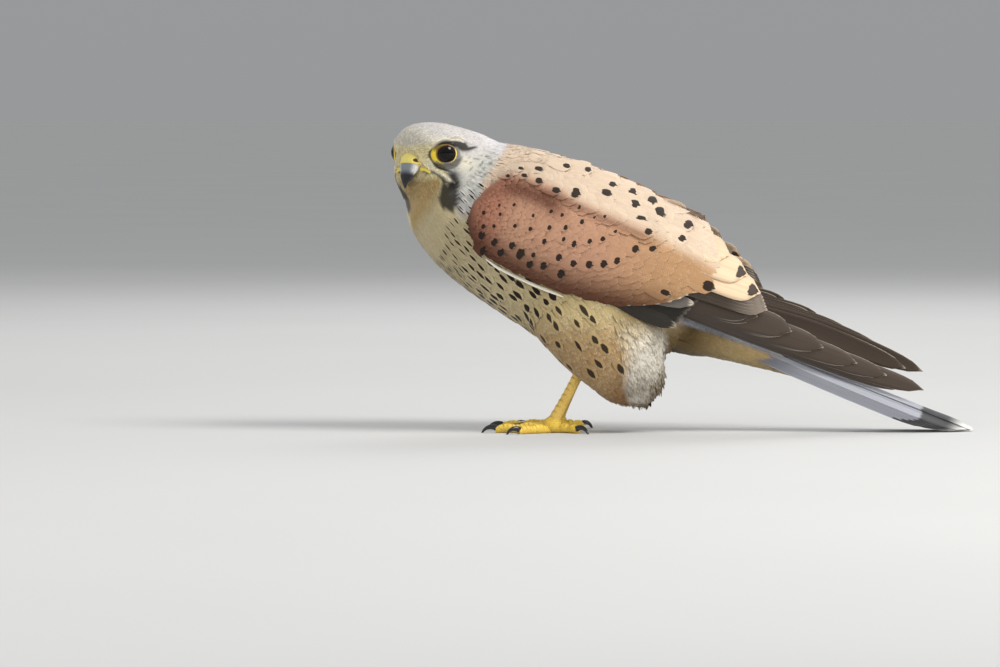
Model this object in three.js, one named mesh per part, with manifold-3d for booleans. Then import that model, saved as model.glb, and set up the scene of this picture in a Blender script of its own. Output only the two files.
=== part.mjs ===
// A common kestrel, an adult male, life size, as a still standing model.
// Millimetres, +Z up. The bird faces -X, its tail points to +X and its left side faces -Y.
// It stands on the floor plane Z = 0 on both feet and on the tips of its tail.
import * as THREE from "three";
import { mergeVertices } from "three/addons/utils/BufferGeometryUtils.js";
import Module from "manifold-3d";

const wasm = await Module();
wasm.setup();

// Driving dimensions
const GAP = 0.3; // clearance between neighbouring nodes
const VANE = 0.5; // thickness of a feather vane
const LAYER = 0.82; // step from one vane to the vane that lies over it
const BODY_START = { x: -124.1, z: 133 }; // middle of the neck, where the body axis starts
const BODY_PITCH = 34; // degrees that the body axis falls towards the tail
const WRIST = { x: -108.2, z: 103.9 }; // the folded wing's front joint
const WING_LENGTH = 249; // wrist to wing tip
const WING_PITCH = { left: 19.2, right: 18.5 };
const RIGHT_WING_AHEAD = 3; // the right wing lies this much further forward
const TAIL_ROOT = { x: 0.8, z: 60 };
const TAIL_LENGTH = 163;
const TAIL_PITCH = 21.6; // brings the outer tail tips down to the floor
const HEAD = { x: -126.2, y: -4, z: 142 };
const HEAD_YAW = 45; // degrees that the head is turned to the bird's left
const HEAD_PITCH = 15; // degrees that the bill points below the horizon
const EYE_RADIUS = 6.8;
const FOOT = { x: -70, y: 15, z: 5.2 }; // middle of the left foot's palm, y mirrored
const ANKLE = { x: -49.9, y: 16.5, z: 42.4 };
const RIGHT_FOOT_BACK = 3; // the right foot stands this much further back

const rad = THREE.MathUtils.degToRad;
const V = (x, y, z) => new THREE.Vector3(x, y, z);

// A smooth function through [input, output] pairs, held level beyond both ends.
function through(pairs) {
  const slope = pairs.map((_, i) => {
    const a = pairs[Math.max(0, i - 1)];
    const b = pairs[Math.min(pairs.length - 1, i + 1)];
    return (b[1] - a[1]) / (b[0] - a[0]);
  });
  return (x) => {
    if (x <= pairs[0][0]) return pairs[0][1];
    if (x >= pairs.at(-1)[0]) return pairs.at(-1)[1];
    const i = pairs.findIndex((p) => p[0] > x) - 1;
    const span = pairs[i + 1][0] - pairs[i][0];
    const t = (x - pairs[i][0]) / span;
    const h = t * t * (3 - 2 * t);
    return (
      pairs[i][1] * (1 - h) +
      pairs[i + 1][1] * h +
      span * (t * (1 - t) * (1 - t) * slope[i] - t * t * (1 - t) * slope[i + 1])
    );
  };
}

// A closed geometry from rings of points that each hold the same number of points.
// Opposite faces of a flat ring are split along matching diagonals.
function ringGeometry(rings) {
  const around = rings[0].length;
  const points = rings.flat();
  const faces = [];
  for (let i = 0; i + 1 < rings.length; i++)
    for (let j = 0; j < around; j++) {
      const a = i * around + j;
      const b = i * around + ((j + 1) % around);
      const c = b + around;
      const d = a + around;
      if (j < around / 2) faces.push([a, b, c], [a, c, d]);
      else faces.push([a, b, d], [b, c, d]);
    }
  const last = (rings.length - 1) * around;
  if (around > 4) {
    const middle = (ring) => ring.reduce((m, p) => m.add(p), V(0, 0, 0)).divideScalar(around);
    points.push(middle(rings[0]), middle(rings.at(-1)));
    for (let j = 0; j < around; j++) {
      const k = (j + 1) % around;
      faces.push([points.length - 2, k, j], [points.length - 1, last + j, last + k]);
    }
  } else {
    faces.push([0, 2, 1], [0, 3, 2], [last, last + 1, last + 2], [last, last + 2, last + 3]);
  }
  return new THREE.BufferGeometry().setFromPoints(points).setIndex(faces.flat());
}

// A geometry as a solid, with its faces turned to point out.
function solid(geometry) {
  const bare = geometry.clone();
  bare.deleteAttribute("normal");
  bare.deleteAttribute("uv");
  const merged = mergeVertices(bare, 1e-3);
  const make = (triVerts) =>
    new wasm.Manifold(
      new wasm.Mesh({
        numProp: 3,
        vertProperties: new Float32Array(merged.attributes.position.array),
        triVerts: new Uint32Array(triVerts),
      }),
    );
  const index = Array.from(merged.index.array);
  const made = make(index);
  return made.volume() > 0 ? made : make(index.reverse());
}

const join = (solids) => solids.reduce((a, b) => a.add(b));
const largest = (made) =>
  made.decompose().reduce((a, b) => (b.volume() > a.volume() ? b : a));

// A named node of the model: the largest closed surface of a solid, in its own finish.
function node(name, made, finish) {
  const kept = largest(made).getMesh();
  const geometry = new THREE.BufferGeometry()
    .setAttribute("position", new THREE.BufferAttribute(new Float32Array(kept.vertProperties), 3))
    .setIndex(new THREE.BufferAttribute(new Uint32Array(kept.triVerts), 1));
  geometry.computeVertexNormals();
  const mesh = new THREE.Mesh(geometry, finish);
  mesh.name = name;
  return mesh;
}

// The half of space on the side of a point that a direction points to, as a large box.
function halfSpace(point, direction) {
  const size = 900;
  const box = new THREE.BoxGeometry(size, size, size).translate(0, 0, size / 2);
  const turn = new THREE.Quaternion().setFromUnitVectors(V(0, 0, 1), direction.clone().normalize());
  return solid(box.applyQuaternion(turn).translate(point.x, point.y, point.z));
}

const aboveFloor = halfSpace(V(0, 0, 0), V(0, 0, 1));

// A tube of varying radius through a list of { p, r } stations, swept in parallel sections.
function taperedTube(stations, sides, extra = 0) {
  const curve = new THREE.CatmullRomCurve3(stations.map((s) => s.p), false, "centripetal");
  const frames = curve.computeFrenetFrames(stations.length - 1, false);
  const rings = stations.map((s, i) => {
    const radius = s.r + extra;
    return Array.from({ length: sides }, (_, j) => {
      const angle = (2 * Math.PI * j) / sides;
      return s.p
        .clone()
        .addScaledVector(frames.normals[i], radius * Math.cos(angle))
        .addScaledVector(frames.binormals[i], radius * Math.sin(angle));
    });
  });
  return solid(ringGeometry(rings));
}

const finishes = {
  head: new THREE.MeshStandardMaterial({ color: 0xc9cbd2, roughness: 0.9 }),
  breast: new THREE.MeshStandardMaterial({ color: 0xe6cfae, roughness: 0.95 }),
  wing: new THREE.MeshStandardMaterial({ color: 0xbe8769, roughness: 0.85 }),
  tail: new THREE.MeshStandardMaterial({ color: 0x8d8f9a, roughness: 0.8 }),
  yellow: new THREE.MeshStandardMaterial({ color: 0xe6b93a, roughness: 0.55 }),
  horn: new THREE.MeshStandardMaterial({ color: 0x4c5666, roughness: 0.35 }),
  claw: new THREE.MeshStandardMaterial({ color: 0x17161a, roughness: 0.3 }),
  eye: new THREE.MeshStandardMaterial({ color: 0x140d09, roughness: 0.05 }),
};

// Torso and neck: parallel sections along the falling body axis
const bodyTop = through([
  [-14, 16], [0, 26], [9, 30], [21, 36], [42, 43.5], [58, 48.2], [74, 51.8],
  [90, 53.2], [106, 50], [122, 41.5], [138, 31.5], [154, 22], [168, 11], [174, 4],
]);
const bodyBottom = through([
  [-14, -25.5], [0, -34.2], [9, -38], [21, -41], [42, -43], [74, -43], [90, -42.5],
  [106, -37], [122, -26], [138, -13], [154, -4.5], [168, -3], [174, -1],
]);
const bodyHalfWidth = through([
  [-14, 17], [0, 25], [9, 27.6], [21, 30], [42, 32.4], [58, 33], [74, 32.6],
  [90, 31.2], [106, 28.6], [122, 24.5], [138, 19.5], [154, 14.5], [168, 8], [174, 3],
]);

// The point t along the body axis, n above it and y to the bird's right.
function bodyPoint(t, n, y) {
  const c = Math.cos(rad(BODY_PITCH));
  const s = Math.sin(rad(BODY_PITCH));
  return V(BODY_START.x + t * c + n * s, y, BODY_START.z - t * s + n * c);
}

function bodySolid(extra = 0) {
  const rows = 24;
  const around = 22;
  const start = -14;
  const end = 174;
  const rings = Array.from({ length: rows + 1 }, (_, i) => {
    const t = start + ((end - start) * (1 - Math.cos((Math.PI * i) / rows))) / 2;
    const middle = (bodyTop(t) + bodyBottom(t)) / 2;
    const half = (bodyTop(t) - bodyBottom(t)) / 2 + extra;
    return Array.from({ length: around }, (_, j) => {
      const angle = (2 * Math.PI * (j + 0.5)) / around;
      const fullness = 0.93; // below 1 the section is a little squarer than an ellipse
      const across = Math.sign(Math.sin(angle)) * Math.abs(Math.sin(angle)) ** fullness;
      return bodyPoint(t, middle + half * Math.cos(angle), (bodyHalfWidth(t) + extra) * across);
    });
  });
  return solid(ringGeometry(rings));
}

// Head: sections along its own forward axis, with brow, lores and cheek raised in the surface
const headFrame = new THREE.Matrix4()
  .makeTranslation(HEAD.x, HEAD.y, HEAD.z)
  .multiply(new THREE.Matrix4().makeRotationZ(rad(HEAD_YAW)))
  .multiply(new THREE.Matrix4().makeRotationY(-rad(HEAD_PITCH)));

// The point f in front of the head's middle, l to the bird's left and u above.
const headPoint = (f, l, u) => V(-f, -l, u).applyMatrix4(headFrame);

const headTop = through([
  [-27.5, 1], [-24, 10], [-16, 17], [-6, 20.8], [4, 22.4], [12, 22.6], [18, 21.4],
  [23, 18.2], [27, 13],
]);
const headBottom = through([
  [-27.5, -6], [-24, -14], [-16, -19.5], [-6, -21], [4, -20], [12, -17], [18, -12.5],
  [23, -8], [27, -4.5],
]);
const headHalfWidth = through([
  [-27.5, 5], [-24, 13.5], [-16, 20], [-6, 23], [4, 24.2], [12, 23.2], [18, 19.8],
  [23, 14.6], [27, 8],
]);
const EYE = { f: 16.2, l: 18.9, u: 9.6, outwards: 54 }; // where the lids open, left side

// A rounded hill of the given height at (f, u) on both sides of the head.
const hill = (f, u, at, height) =>
  height * Math.exp(-(((f - at.f) / at.long) ** 2) - ((u - at.u) / at.high) ** 2);

function headSolid() {
  const rows = 20;
  const around = 22;
  const back = -27.5;
  const front = 27;
  const rings = Array.from({ length: rows + 1 }, (_, i) => {
    const f = back + ((front - back) * (1 - Math.cos((Math.PI * i) / rows))) / 2;
    const middle = (headTop(f) + headBottom(f)) / 2;
    const half = (headTop(f) - headBottom(f)) / 2;
    return Array.from({ length: around }, (_, j) => {
      const angle = (2 * Math.PI * (j + 0.5)) / around;
      const u = middle + half * Math.cos(angle);
      const side = Math.sign(Math.sin(angle));
      const sideways = Math.abs(Math.sin(angle)) ** 0.84;
      const relief =
        hill(f, u, { f: EYE.f - 1, u: EYE.u + 7.2, long: 8, high: 2.6 }, 1.7) -
        hill(f, u, { f: EYE.f, u: EYE.u, long: 5.5, high: 4.5 }, 1.6) -
        hill(f, u, { f: 22, u: 5, long: 3.5, high: 4 }, 1.2) +
        hill(f, u, { f: 9, u: -5, long: 7, high: 6 }, 0.9);
      return headPoint(f, side * (headHalfWidth(f) * sideways + relief * sideways), u);
    });
  });
  return solid(ringGeometry(rings));
}

// The line that an eye looks along, from the middle of its ball. side is 1 on the bird's left.
function eyeAxis(side) {
  const angle = rad(EYE.outwards);
  const open = headPoint(EYE.f, side * EYE.l, EYE.u);
  const tip = headPoint(EYE.f + Math.cos(angle), side * (EYE.l + Math.sin(angle)), EYE.u + 0.05);
  const outward = tip.sub(open).normalize();
  const lidHeight = 4.3;
  return { outward, middle: open.addScaledVector(outward, -lidHeight) };
}

function eyeball(side, extra = 0) {
  const { middle } = eyeAxis(side);
  return solid(
    new THREE.SphereGeometry(EYE_RADIUS + extra, 16, 10).translate(middle.x, middle.y, middle.z),
  );
}

// The bare ring of lids: a lathe-turned hoop that grips the ball
function lidRing(side) {
  const ring = [];
  const sides = 6;
  for (let k = 0; k <= sides; k++) {
    const angle = (2 * Math.PI * k) / sides;
    ring.push(new THREE.Vector2(6.15 + 1.35 * Math.cos(angle), 3.9 + 1.25 * Math.sin(angle)));
  }
  const { outward, middle } = eyeAxis(side);
  const turn = new THREE.Quaternion().setFromUnitVectors(V(0, 1, 0), outward);
  const hoop = new THREE.LatheGeometry(ring, 18).applyQuaternion(turn);
  return solid(hoop.translate(middle.x, middle.y, middle.z));
}

// Bill: sections that run round the hook, each from the cutting edge up to the culmen
const culmen = [
  [21, 13.2], [25, 12.4], [28.2, 10.6], [30.6, 7.6], [32, 3.8], [32.6, 0], [32.3, -3.4], [31.5, -6.2],
];
const cuttingEdge = [
  [18.5, 0.6], [21.5, 0.4], [24, 0], [26.3, -0.4], [28.4, -1.1], [29.9, -2.2], [30.7, -3.8], [31.3, -6],
];
const billHalfWidths = [8.6, 7.9, 7, 5.9, 4.6, 3.2, 1.8, 0.35];

function upperBill(extra = 0) {
  const around = 14;
  const rings = culmen.map((top, i) => {
    const edge = cuttingEdge[i];
    return Array.from({ length: around }, (_, j) => {
      const angle = (2 * Math.PI * (j + 0.5)) / around;
      const rise = 0.5 + 0.5 * Math.cos(angle);
      const lift = rise < 0.5 ? rise * 0.8 : rise; // a flatter underside
      const half = billHalfWidths[i] + extra;
      const grow = (extra * (lift - 0.4)) / 9;
      return headPoint(
        edge[0] + (top[0] - edge[0]) * (lift + grow),
        half * Math.sin(angle),
        edge[1] + (top[1] - edge[1]) * (lift + grow),
      );
    });
  });
  return solid(ringGeometry(rings));
}

function lowerBill() {
  const around = 10;
  const keel = [[17, -4.6], [20.5, -5], [24, -5.1], [27, -4.7], [28.8, -3.9]];
  const rim = [[17, 0], [20.5, -0.1], [24, -0.6], [26.8, -1.3], [28.4, -2]];
  const halfWidths = [7.4, 6.4, 5, 3.4, 1.3];
  const rings = keel.map((low, i) =>
    Array.from({ length: around }, (_, j) => {
      const angle = (2 * Math.PI * (j + 0.5)) / around;
      const lift = 0.5 + 0.5 * Math.cos(angle);
      return headPoint(
        low[0] + (rim[i][0] - low[0]) * lift,
        halfWidths[i] * Math.sin(angle),
        low[1] + (rim[i][1] - low[1]) * lift,
      );
    }),
  );
  return solid(ringGeometry(rings));
}

// A nostril: a short round bore into the side of the cere
function nostril(side) {
  const at = headPoint(26.1, side * 5.6, 6.9);
  const inwards = headPoint(24, side * 1, 6.6).sub(at).normalize();
  const turn = new THREE.Quaternion().setFromUnitVectors(V(0, 1, 0), inwards);
  const bore = new THREE.CylinderGeometry(0.8, 0.95, 4.4, 10).applyQuaternion(turn);
  return solid(bore.translate(at.x, at.y, at.z));
}

// The corner of the mouth: a thin wedge cut back from the bill under the lores
function mouthLine(side) {
  const wedge = [
    [27, 2.5, -0.35], [22, 8, -0.3], [17.5, 12.5, -1.2], [14.5, 16, -2.6],
  ].map(([f, l, u]) => ({ p: headPoint(f, side * l, u), r: 0.42 }));
  return taperedTube(wedge, 6);
}

// Thighs: level sections of the long loose thigh feathers, down to their lowest tips
const thighMiddle = through([[14, -29.2], [24, -32.7], [32, -36.2], [46, -43.2], [60, -48.2], [84, -52.2]]);
const thighLong = through([[14, 4], [17, 10.5], [24, 17.3], [32, 24], [46, 30.5], [60, 33], [84, 24]]);
const thighWide = through([[14, 3], [17, 7], [24, 11], [32, 14], [46, 16.5], [60, 17], [84, 12]]);
const THIGH_Y = 17.6;

function thighSolid(side, extra = 0) {
  const rings = [84, 74, 60, 46, 38, 32, 27, 22, 18, 15, 14].map((z) =>
    Array.from({ length: 16 }, (_, j) => {
      const angle = (2 * Math.PI * j) / 16;
      const long = thighLong(z) + extra;
      const wide = thighWide(z) + extra;
      return V(thighMiddle(z) + long * Math.cos(angle), side * -THIGH_Y + wide * Math.sin(angle), z);
    }),
  );
  return solid(ringGeometry(rings));
}

// Legs: side is 1 on the bird's left
const footPoint = (side) =>
  V(FOOT.x + (side < 0 ? RIGHT_FOOT_BACK : 0), -side * FOOT.y, FOOT.z);

function tarsusSolid(side, extra = 0) {
  const foot = footPoint(side);
  const ankle = V(ANKLE.x, -side * ANKLE.y, ANKLE.z);
  const radii = [3.3, 2.75, 2.6, 2.65, 2.9, 3.5];
  const stations = radii.map((r, i) => ({
    p: foot.clone().lerp(ankle, i / (radii.length - 1)),
    r,
  }));
  const shank = taperedTube(stations, 10, extra);
  const palm = new THREE.SphereGeometry(1, 10, 7)
    .scale(5.2 + extra, 5.6 + extra, 4.6 + extra)
    .translate(foot.x, foot.y, foot.z - 0.8);
  return shank.add(solid(palm));
}

// Toes as [number, degrees outwards from straight ahead, length, root radius]
const toes = [
  [3, 2, 30, 2.7],
  [4, 40, 22, 2.45],
  [2, -34, 20, 2.55],
  [1, 172, 15, 2.6],
];

function toeStations(side, [, outwards, length, root]) {
  const foot = footPoint(side);
  const count = 9;
  return Array.from({ length: count }, (_, i) => {
    const s = i / (count - 1);
    const reach = 1.5 + (length - 1.5) * s;
    const curl = rad(outwards) * (1 - 0.12 * s);
    const pad = 0.22 * Math.cos(2 * Math.PI * 2.5 * s); // a pad under each joint
    const r = root * (1 - 0.22 * s) + pad;
    const arch = 1.1 * Math.sin(Math.PI * s) * (i % 2);
    return {
      p: V(foot.x - reach * Math.cos(curl), foot.y - side * reach * Math.sin(curl), r - 0.25 + arch * 0.5),
      r,
    };
  });
}

function clawStations(side, toe, extra = 0) {
  const stations = toeStations(side, toe);
  const end = stations.at(-1);
  const ahead = end.p.clone().sub(stations.at(-2).p).setZ(0).normalize();
  const sweep = 1.95;
  const bend = toe[0] === 1 ? 6.4 : 5.4;
  return Array.from({ length: 7 }, (_, i) => {
    const s = i / 6;
    const angle = 0.5 - sweep * s; // climbs a little, then hooks down to the floor
    const start = 0.5;
    const along = bend * (Math.sin(start) - Math.sin(angle)) + GAP + extra;
    const up = bend * (Math.cos(angle) - Math.cos(start));
    return {
      p: end.p.clone().addScaledVector(ahead, along).add(V(0, 0, up + 0.9)),
      r: 1.5 * (1 - s) ** 0.8 + 0.14,
    };
  });
}

// Folded wings: a sheet over the flank, u back along the wing, v up and n outwards
const sheetDepth = through([
  [-9, 30], [0, 33], [20, 35], [60, 35.5], [100, 33.5], [140, 26.5], [180, 19], [220, 12.5], [250, 9.5],
]);
const rightWingLift = through([[60, 0], [100, 2], [125, 4], [160, 9], [195, 11], [249, 7]]); // over the left one
const sheetMiddle = through([[0, 14], [60, 10], [100, 8], [140, 6], [180, 2], [220, -2], [250, -3]]);
const sheetLower = through([[0, 48], [60, 46], [100, 41], [140, 34], [180, 27], [250, 22]]);
const sheetUpper = through([
  [0, 46], [30, 45], [60, 43], [80, 40.4], [100, 37.6], [120, 34.5], [130, 32.5], [140, 30.5],
  [160, 25], [180, 20], [250, 15],
]);

function sheetPoint(side, u, v) {
  const name = side > 0 ? "left" : "right";
  const pitch = rad(WING_PITCH[name]);
  const lift = v + (side < 0 ? rightWingLift(u) : 0);
  const front = WRIST.x - (side < 0 ? RIGHT_WING_AHEAD : 0);
  const x = front + u * Math.cos(pitch) + lift * Math.sin(pitch);
  const z = WRIST.z - u * Math.sin(pitch) + lift * Math.cos(pitch);
  const above = v - sheetMiddle(u);
  const ratio = Math.min(0.985, above > 0 ? above / sheetUpper(u) : -above / sheetLower(u));
  return V(x, -side * sheetDepth(u) * Math.sqrt(1 - ratio * ratio), z);
}

function wingPoint(side, u, v, n) {
  const here = sheetPoint(side, u, v);
  const along = sheetPoint(side, u + 2, v).sub(sheetPoint(side, u - 2, v));
  const up = sheetPoint(side, u, v + 2).sub(sheetPoint(side, u, v - 2));
  const outward = up.cross(along).normalize();
  if (outward.y * side > 0) outward.negate();
  return here.addScaledVector(outward, n);
}

const wingLow = through([
  [-9, 3], [-5, -3], [5, -8.5], [33, -12.4], [59, -12.7], [111, -8.5], [140, -8.2],
  [169, -7.4], [194, -4.8], [228, -0.3], [249, 1],
]);
const wingHigh = through([[-9, 17], [-5, 27], [5, 37], [30, 45], [50, 47.5], [62, 46.5], [75, 40], [84, 28]]);

// Feather outlines: [share of the length, share of the greatest half width] at each station
const roundTip = [[0, 0.5], [0.35, 0.9], [0.68, 1], [0.89, 0.8], [1, 0.2]];
const pointedTip = [[0, 0.5], [0.35, 0.95], [0.66, 1], [0.88, 0.7], [1, 0.1]];
const tailTip = [[0, 0.35], [0.3, 0.8], [0.75, 1], [0.92, 0.86], [1, 0.3]];
const covertTip = [[0, 0.6], [0.5, 1], [0.85, 0.86], [1, 0.25]];

// One vane from root to tip in the (u, v) of a sheet, given by place(u, v, n). Its middle goes
// from the level from to the level to, its edges tilt by tilt and its shaft bows by bow. A lean
// of 1 or -1 keeps one of its edges straight.
function vane(place, { root, tip, width, from, to, tilt = 0, bow = 0, lean = 0, outline = roundTip }) {
  const length = Math.hypot(tip[0] - root[0], tip[1] - root[1]);
  const along = [(tip[0] - root[0]) / length, (tip[1] - root[1]) / length];
  const rings = outline.map(([s, share]) => {
    const half = (width / 2) * share;
    const level = from + (to - from) * Math.min(1, s / 0.45);
    const thick = s === 1 ? VANE * 0.7 : VANE;
    const side = bow * Math.sin(Math.PI * Math.min(1, s * 1.1) * 0.9) + lean * (width / 2 - half);
    const corner = (x, face) =>
      place(
        root[0] + along[0] * length * s - along[1] * (x + side),
        root[1] + along[1] * length * s + along[0] * (x + side),
        level + tilt * x + (face * thick) / 2,
      );
    return [corner(-half, -1), corner(half, -1), corner(half, 1), corner(-half, 1)];
  });
  return solid(ringGeometry(rings));
}

// The tiers of the wing, each a row of vanes. The primaries are counted from inside out and lie
// one under the other, the rest from the lower edge up, each over the upper edge of the last.
const wingTiers = [
  {
    name: "primaries",
    count: 8,
    tipU: through([[0, 160], [2, 190], [4, 221], [5, 236], [6, WING_LENGTH], [7, 240]]),
    tipV: through([[0, 11], [2, 6], [4, 4], [6, 2], [7, -1]]),
    rootU: () => 60,
    rootV: (i) => 9 - i,
    width: (i) => 15 - 0.35 * i,
    from: (i) => -0.3 - LAYER * i,
    to: (i) => -0.3 - LAYER * i,
    bow: -2.6,
    outline: pointedTip,
  },
  {
    name: "secondaries",
    count: 4,
    tipU: (i) => 152 - 2.2 * i,
    tipV: (i) => 13.5 + 3.5 * i,
    rootU: () => 66,
    rootV: (i) => 12 + 3.6 * i,
    width: () => 8,
    from: () => 1,
    to: () => 1.7,
    tilt: -0.25,
  },
  {
    name: "tertials",
    count: 4,
    tipU: through([[0, 153], [1, 147], [2, 138], [3, 127]]),
    tipV: through([[0, 22.5], [1, 27], [2, 31.5], [3, 36]]),
    rootU: () => 64,
    rootV: (i) => 22.5 + 6 * i,
    width: () => 9,
    from: () => 2.2,
    to: () => 3.4,
    tilt: -0.26,
  },
  {
    name: "primary_coverts",
    count: 4,
    tipU: through([[0, 111], [3, 116]]),
    tipV: (i) => -6.5 + 3.5 * i,
    rootU: () => 70,
    rootV: (i) => -3 + 2.8 * i,
    width: () => 6.5,
    from: () => 0.6,
    to: () => 1.5,
    tilt: -0.25,
    outline: covertTip,
  },
  {
    name: "greater_coverts",
    count: 6,
    tipU: through([[0, 93], [1, 103], [2, 111], [3, 117], [4, 121], [5, 123]]),
    tipV: (i) => -4 + 5 * i,
    rootU: (i) => 62 + 2 * i,
    rootV: (i) => 0 + 4.5 * i,
    width: () => 7,
    from: () => 2,
    to: through([[0, 3.5], [3, 4.2], [4, 5], [5, 5.9]]),
    tilt: -0.175,
    outline: covertTip,
  },
  {
    name: "median_coverts",
    count: 6,
    tipU: through([[0, 68], [1, 78], [2, 87], [3, 95], [4, 101], [5, 104]]),
    tipV: (i) => -6 + 5 * i,
    rootU: (i) => 44 + 4 * i,
    rootV: (i) => -2.5 + 4.5 * i,
    width: () => 7,
    from: () => 3.2,
    to: through([[0, 5.2], [3, 5.9], [4, 6.7], [5, 7.6]]),
    tilt: -0.175,
    outline: covertTip,
  },
  {
    name: "scapulars",
    count: 5,
    tipU: through([[0, 117], [1, 115], [2, 110], [3, 101], [4, 88]]),
    tipV: through([[0, 24], [1, 29], [2, 34], [3, 39], [4, 43.5]]),
    rootU: (i) => 72 - 8 * i,
    rootV: (i) => 25 + 5.4 * i,
    width: () => 7.5,
    from: () => 3.4,
    to: () => 6.6,
    tilt: -0.25,
    outline: covertTip,
  },
];

// The arm inside the feathers: its rear end is blunt and holds the roots of every tier
const armOuter = through([[-9, 0.8], [0, 2.6], [20, 4.2], [50, 4.9], [84, 3.4]]);
const armFullness = (s) => Math.sqrt(Math.sin(Math.PI * (0.03 + 0.94 * s)));

// The level of the arm's outer face at (u, v)
function armLevel(u, v) {
  const s = THREE.MathUtils.clamp((v - wingLow(u)) / (wingHigh(u) - wingLow(u)), 0, 1);
  return -2 + (armOuter(u) + 2) * armFullness(s);
}

function wingArm(side) {
  const first = -9;
  const last = 84;
  const rows = 9;
  const across = 6;
  const rings = Array.from({ length: rows + 1 }, (_, i) => {
    const u = first + ((last - first) * i) / rows;
    const ring = [];
    for (let face = -1; face <= 1; face += 2)
      for (let k = 0; k <= across; k++) {
        const s = face < 0 ? k / across : 1 - k / across;
        const v = wingLow(u) + (wingHigh(u) - wingLow(u)) * s;
        ring.push(wingPoint(side, u, v, face < 0 ? -2 - 5 * armFullness(s) : armLevel(u, v)));
      }
    return ring;
  });
  return solid(ringGeometry(rings));
}

// The room that a wing takes up over the thigh, with clearance all round
function wingRoom(side) {
  const rings = Array.from({ length: 19 }, (_, i) => {
    const u = -9 + 10 * i;
    const low = wingLow(u) - 0.6;
    return [[low, -8.5], [12, -8.5], [30, -8.5], [30, 9], [12, 9], [low, 9]].map(([v, n]) =>
      wingPoint(side, u, v, n),
    );
  });
  return solid(ringGeometry(rings));
}

function wingSolid(side) {
  const place = (u, v, n) => wingPoint(side, u, v, n);
  const vanes = wingTiers.flatMap((tier) =>
    Array.from({ length: tier.count }, (_, i) =>
      vane(place, {
        root: [tier.rootU(i), tier.rootV(i)],
        tip: [tier.tipU(i), tier.tipV(i)],
        width: tier.width(i),
        from: Math.min(tier.from(i), armLevel(tier.rootU(i), tier.rootV(i)) - 0.8),
        to: tier.to(i),
        tilt: tier.tilt,
        bow: tier.bow,
        outline: tier.outline,
      }),
    ),
  );
  return join([wingArm(side), ...vanes]);
}

// Tail: a roofed sheet behind the rump, u back along it, v across and n up
function tailPoint(u, v, n) {
  const c = Math.cos(rad(TAIL_PITCH));
  const s = Math.sin(rad(TAIL_PITCH));
  const roof = -0.45 * Math.abs(v);
  const up = n + roof;
  return V(TAIL_ROOT.x + u * c + up * s, v, TAIL_ROOT.z - u * s + up * c);
}

// The rump end that carries the tail feathers, tapering away under their coverts
function tailBase() {
  const rows = 6;
  const around = 12;
  const rings = Array.from({ length: rows + 1 }, (_, i) => {
    const u = 9 + (43 * i) / rows;
    const share = Math.sqrt(1 - (i / (rows + 0.4)) ** 2);
    return Array.from({ length: around }, (_, j) => {
      const angle = (2 * Math.PI * (j + 0.5)) / around;
      const deep = Math.cos(angle) > 0 ? 7 : 9;
      return tailPoint(u, 12 * share * Math.sin(angle), deep * share * Math.cos(angle));
    });
  });
  return solid(ringGeometry(rings));
}

// Tail feathers as [length, width], from the middle pair out. Each lies a layer below the one
// before it, with its inner edge near the ridge of the closed tail.
const tailFeathers = [
  [TAIL_LENGTH, 13.4],
  [TAIL_LENGTH - 1, 13.8],
  [TAIL_LENGTH - 3, 14.2],
  [TAIL_LENGTH - 6, 14.6],
  [TAIL_LENGTH - 10, 15],
  [TAIL_LENGTH - 16, 15.4],
];
const RIDGE_GAP = 0.4; // from the middle line to each inner edge
const TOP_LEVEL = 2.2;

// Tail coverts as [length, distance from the middle line, level at the tip], above and below
const tailCoverts = [
  [62, 4, 3.6], [52, 8.5, 4.4], [70, 4, -3.8], [60, 8.5, -4.6],
];

function tailSolid() {
  const pieces = [tailBase()];
  for (const side of [1, -1]) {
    tailFeathers.forEach(([length, width], i) => {
      const off = side * (RIDGE_GAP + width / 2);
      const level = TOP_LEVEL - LAYER * i;
      pieces.push(
        vane(tailPoint, {
          root: [16, off],
          tip: [length, off],
          width,
          from: level,
          to: level,
          lean: -side,
          outline: tailTip,
        }),
      );
    });
    for (const [length, off, level] of tailCoverts)
      pieces.push(
        vane(tailPoint, {
          root: [14, side * off * 0.9],
          tip: [length, side * off],
          width: 7.2,
          from: level * 0.75,
          to: level,
          outline: covertTip,
        }),
      );
  }
  return join(pieces);
}

// Assembly
const kestrel = new THREE.Group();
kestrel.name = "common_kestrel";

const whole = bodySolid().add(headSolid());
const headCut = { point: V(-123.2, 0, 124.5), out: V(-0.48, 0, 0.875).normalize() };
const neckCut = { point: bodyPoint(22, 0, 0), out: bodyPoint(0, 0, 0).sub(bodyPoint(1, 0, 0)) };
const half = (cut, sign, gap = GAP / 2) =>
  halfSpace(
    cut.point.clone().addScaledVector(cut.out, sign * gap),
    cut.out.clone().multiplyScalar(sign),
  );

const eyeballs = { left: eyeball(1), right: eyeball(-1) };
let headMade = whole
  .intersect(half(headCut, 1))
  .add(lidRing(1))
  .add(lidRing(-1));
for (const side of [1, -1])
  headMade = headMade.subtract(eyeball(side, GAP)).subtract(mouthLine(side));
const upper = upperBill();
const lower = lowerBill();
headMade = headMade.subtract(upperBill(GAP * 1.3));

const cereEnd = headPoint(27.4, 0, 6.2);
const cereAhead = headPoint(28.4, 0, 5.9).sub(cereEnd).normalize();
const cereFrom = headPoint(21.3, 0, 6);
const cere = upper
  .intersect(halfSpace(cereEnd, cereAhead.clone().negate()))
  .subtract(nostril(1))
  .subtract(nostril(-1));
const billUpper = upper.intersect(halfSpace(cereEnd.clone().addScaledVector(cereAhead, GAP), cereAhead));
const billLower = lower.subtract(upperBill(GAP * 1.3));

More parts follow.
